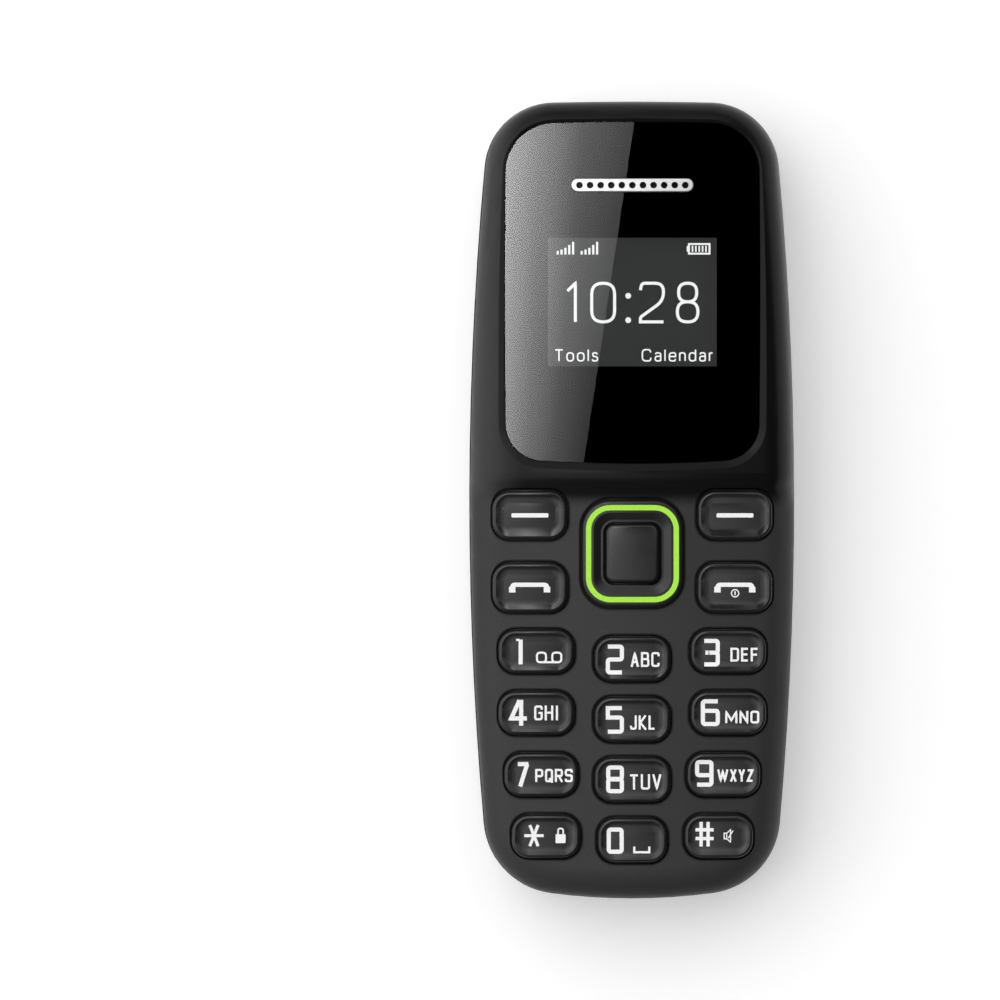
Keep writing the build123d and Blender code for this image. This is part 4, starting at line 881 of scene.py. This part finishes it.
# Thin letters of the display: how wide each is, and its lines, with the low letters one high
SCREEN_LETTERS = {
    "T": (0.95, [[(0, 1.37), (0.95, 1.37)], [(0.475, 1.34), (0.475, -0.03)]]),
    "C": (1.05, [[(1.02, 1.05), (0.9, 1.4, 9), (0, 1.4, 9), (0, 0, 9), (0.95, 0, 9), (1.05, 0.4)]]),
    "a": (
        0.66,
        [
            [(0.05, 0.8), (0.1, 1, 5), (0.66, 1, 5), (0.66, 0)],
            [(0.66, 0.58), (0, 0.56, 6), (0, 0, 6), (0.62, 0, 6), (0.66, 0.3)],
        ],
    ),
    "d": (
        0.75,
        [
            [(0.75, 1.4), (0.75, 0)],
            [(0.75, 1, 9), (0, 1, 9), (0, 0, 9), (0.75, 0, 9), (0.75, 1, 9)],
        ],
    ),
    "e": (
        0.75,
        [
            [
                (0.02, 0.54), (0.75, 0.54), (0.75, 1, 9), (0, 1, 9),
                (0, 0, 9), (0.7, 0, 7), (0.73, 0.24),
            ],
        ],
    ),
    "l": (0.02, [[(0.01, 1.4), (0.01, 0)]]),
    "n": (0.65, [[(0, 1), (0, 0)], [(0, 0.6), (0.04, 1, 6), (0.65, 1, 6), (0.65, 0)]]),
    "o": (0.8, [[(0.8, 1, 9), (0.8, 0, 9), (0, 0, 9), (0, 1, 9), (0.8, 1, 9)]]),
    "r": (0.38, [[(0, 1), (0, 0)], [(0, 0.6), (0.05, 1, 6), (0.38, 0.98)]]),
    "s": (
        0.62,
        [
            [
                (0.58, 0.8), (0.5, 1, 5), (0.04, 1, 5), (0.04, 0.58, 5),
                (0.62, 0.48, 5), (0.62, 0, 5), (0.04, 0, 5), (0, 0.22),
            ],
        ],
    ),
}

# How high the tall letters are, and the gap between two. The line and corner are in millimetres
SCREEN_TALL = 1.4
SCREEN_GAP = 0.34
SCREEN_LINE = 0.13
SCREEN_CORNER = 0.1


def screen_word(name, text, box):
    """A word on the display in thin letters, fitted to its box."""
    left, low, right, high = box
    room = right - left - SCREEN_LINE * len(text)
    widths = [SCREEN_LETTERS[letter][0] for letter in text]
    across = room / (sum(widths) + SCREEN_GAP * (len(text) - 1))
    up = (high - low - SCREEN_LINE) / SCREEN_TALL
    half = SCREEN_LINE / 2
    lines = on_screen(name)
    for letter, width in zip(text, widths):
        for path in SCREEN_LETTERS[letter][1]:
            points = [(left + half + p[0] * across, low + half + p[1] * up, *p[2:]) for p in path]
            lines.line(points, SCREEN_LINE, SCREEN_CORNER)
        left += (width + SCREEN_GAP) * across + SCREEN_LINE
    lines.finish()


screen_word("screen_left_word", "Tools", (-7.0, 12.46, -3.06, 13.6))
screen_word("screen_right_word", "Calendar", (0.85, 12.46, 7.3, 13.6))


# Floor, light and camera


def staged(name, corners, faces, material):
    """A flat piece of the studio, which isn't part of the phone."""
    mesh = bpy.data.meshes.new(name)
    mesh.from_pydata(corners, [], faces)
    mesh.materials.append(material)
    piece = bpy.data.objects.new(name, mesh)
    bpy.context.scene.collection.objects.link(piece)
    return piece


def seen_ray(paint, *kinds):
    """One for a ray of any of the kinds, else zero."""
    first, *others = [paint.node("ShaderNodeLightPath", None, None, kind) for kind in kinds]
    for other in others:
        first = first.higher(other)
    return first


# The light that the floor adds to its own white where it is seen or mirrored
FLOOR_LIFT = 0.34


def floor_finish():
    """White paper: a pale ground that shows as white and still takes a shadow."""
    paint = Paint("floor_paper")
    fibre = paint.noise(0.6, 3, 0.6)
    paper = paint.between(fibre, grey(228), grey(234))
    lift = FLOOR_LIFT * seen_ray(paint, "Is Camera Ray", "Is Glossy Ray", "Is Transmission Ray")
    body = paint.skin(
        Base_Color=paper,
        Roughness=0.9,
        Emission_Color=paint.between(lift, NO_LIGHT, FULL_WHITE),
        Emission_Strength=1,
    )
    return paint.done(body)


HALF_FLOOR = 1.5
staged(
    "floor",
    [(HALF_FLOOR * x, HALF_FLOOR * y, 0) for x, y in ((-1, -1), (1, -1), (1, 1), (-1, 1))],
    [(0, 1, 2, 3)],
    floor_finish(),
)


# How high the lit cards hang, in millimetres, and how much of them shows from behind the lens
CARD_HEIGHT = 62
CARD_BEHIND_LENS = 0.15


def reflector(name, rows, levels):
    """A card seen in gloss, faintly through the lens: corners in millimetres, a level at each."""
    paint = Paint(name + "_light")
    level = paint.node("ShaderNodeVertexColor", {"layer_name": "level"}, None, "Color")
    dimmed = (1 - CARD_BEHIND_LENS) * seen_ray(paint, "Is Transmission Ray")
    shown = paint.between(dimmed, level, NO_LIGHT)
    light = paint.node("ShaderNodeEmission", None, {"Color": shown, "Strength": 1})
    columns = len(rows[0])
    corners = [(x * MM, y * MM, CARD_HEIGHT * MM) for row in rows for x, y in row]
    faces = [(c, c + 1, c + 1 + columns, c + columns) for c in range(columns - 1)]
    card = staged(name, corners, faces, paint.done(light))
    stored = card.data.color_attributes.new("level", "FLOAT_COLOR", "POINT")
    for spot, value in zip(stored.data, [value for row in levels for value in row]):
        spot.color = (value, value, value, 1)
    card.visible_camera = card.visible_diffuse = card.visible_shadow = False
    card.visible_volume_scatter = False


reflector(
    "window_glow",
    [
        [(-12.0, 36.4), (-10.4, 36.4), (-8.0, 36.4), (-4.0, 36.4), (0.9, 36.4)],
        [(-12.0, 2.8), (-11.0, 2.8), (-9.4, 2.8), (-7.0, 2.8), (-4.1, 2.8)],
    ],
    [[14, 10.6, 7.2, 3.0, 1.5], [8.5, 6.2, 3.9, 2.0, 0.8]],
)
reflector(
    "window_shade",
    [[(0.9, 36.4), (13.4, 36.4)], [(-4.1, 2.8), (13.4, 2.8)]],
    [[0, 0], [0, 0]],
)


def softbox(name, place, size, watts):
    """A broad lamp that points at the phone. Its place and size are in metres."""
    light = bpy.data.lights.new(name, "AREA")
    light.shape, light.size, light.size_y = "RECTANGLE", size[0], size[1]
    light.energy = watts
    lamp = bpy.data.objects.new(name, light)
    lamp.location = place
    lamp.rotation_euler = (-Vector(place)).to_track_quat("-Z", "Y").to_euler()
    bpy.context.scene.collection.objects.link(lamp)


softbox("left_softbox", (-0.8, 0.3, 0.8), (1.7, 1.7), 10.4)
softbox("top_softbox", (0.1, 0.8, 1.1), (2.0, 1.7), 9.2)

# The room: where the card above begins and is full, and where the horizon turns white
CARD_START, CARD_FULL = 0.9, 0.95
CORNER_SHARE = 0.85
HORIZON_LOW, HORIZON_HIGH = 0.02, 0.1


def pale_room():
    """A white room, brighter to the left, with a lit card high above that has a dark corner."""
    paint = Paint("pale_room", bpy.data.worlds)
    toward = paint.node("ShaderNodeTexCoord", None, None, "Generated")
    across, along, over = paint.axes(toward)
    walls = (0.34 - 0.3 * across + 0.1 * along) * paint.step(over, 0.7, 0.92, 1, 0.25)
    rightward = paint.step(0.8 * across - 0.35 * along, 0.022, 0.04)
    corner = rightward * paint.step(along, -0.06, 0.07)
    lit = (1.05 - 2.4 * across).higher(0.1) * (1 - CORNER_SHARE * corner)
    card = paint.step(over, CARD_START, CARD_FULL)
    level = walls + card * (lit - walls)
    horizon = paint.step(over, HORIZON_LOW, HORIZON_HIGH, 1, 0)
    plain = seen_ray(paint, "Is Camera Ray", "Is Transmission Ray").higher(horizon)
    shown = paint.between(level + plain * (1 - level), NO_LIGHT, FULL_WHITE, held=False)
    light = paint.node("ShaderNodeBackground", None, {"Color": shown, "Strength": 1})
    return paint.done(light, "ShaderNodeOutputWorld")


bpy.context.scene.world = pale_room()

# The camera looks straight down. The frame's width is in millimetres at the level it looks at
LENS = 400
SENSOR = 36
FRAME_WIDTH = 90.11
CAMERA_X = -11.9
VIEW_LEVEL = 9.5
CLIP_NEAR, CLIP_FAR = 0.05, 10
camera_data = bpy.data.cameras.new("camera")
camera_data.lens, camera_data.sensor_width = LENS, SENSOR
distance = FRAME_WIDTH * LENS / SENSOR
camera_data.clip_start, camera_data.clip_end = CLIP_NEAR, CLIP_FAR
camera = bpy.data.objects.new("camera", camera_data)
camera.location = (CAMERA_X * MM, 0, (VIEW_LEVEL + distance) * MM)
bpy.context.scene.collection.objects.link(camera)
bpy.context.scene.camera = camera

bpy.context.scene.view_settings.view_transform = "Standard"
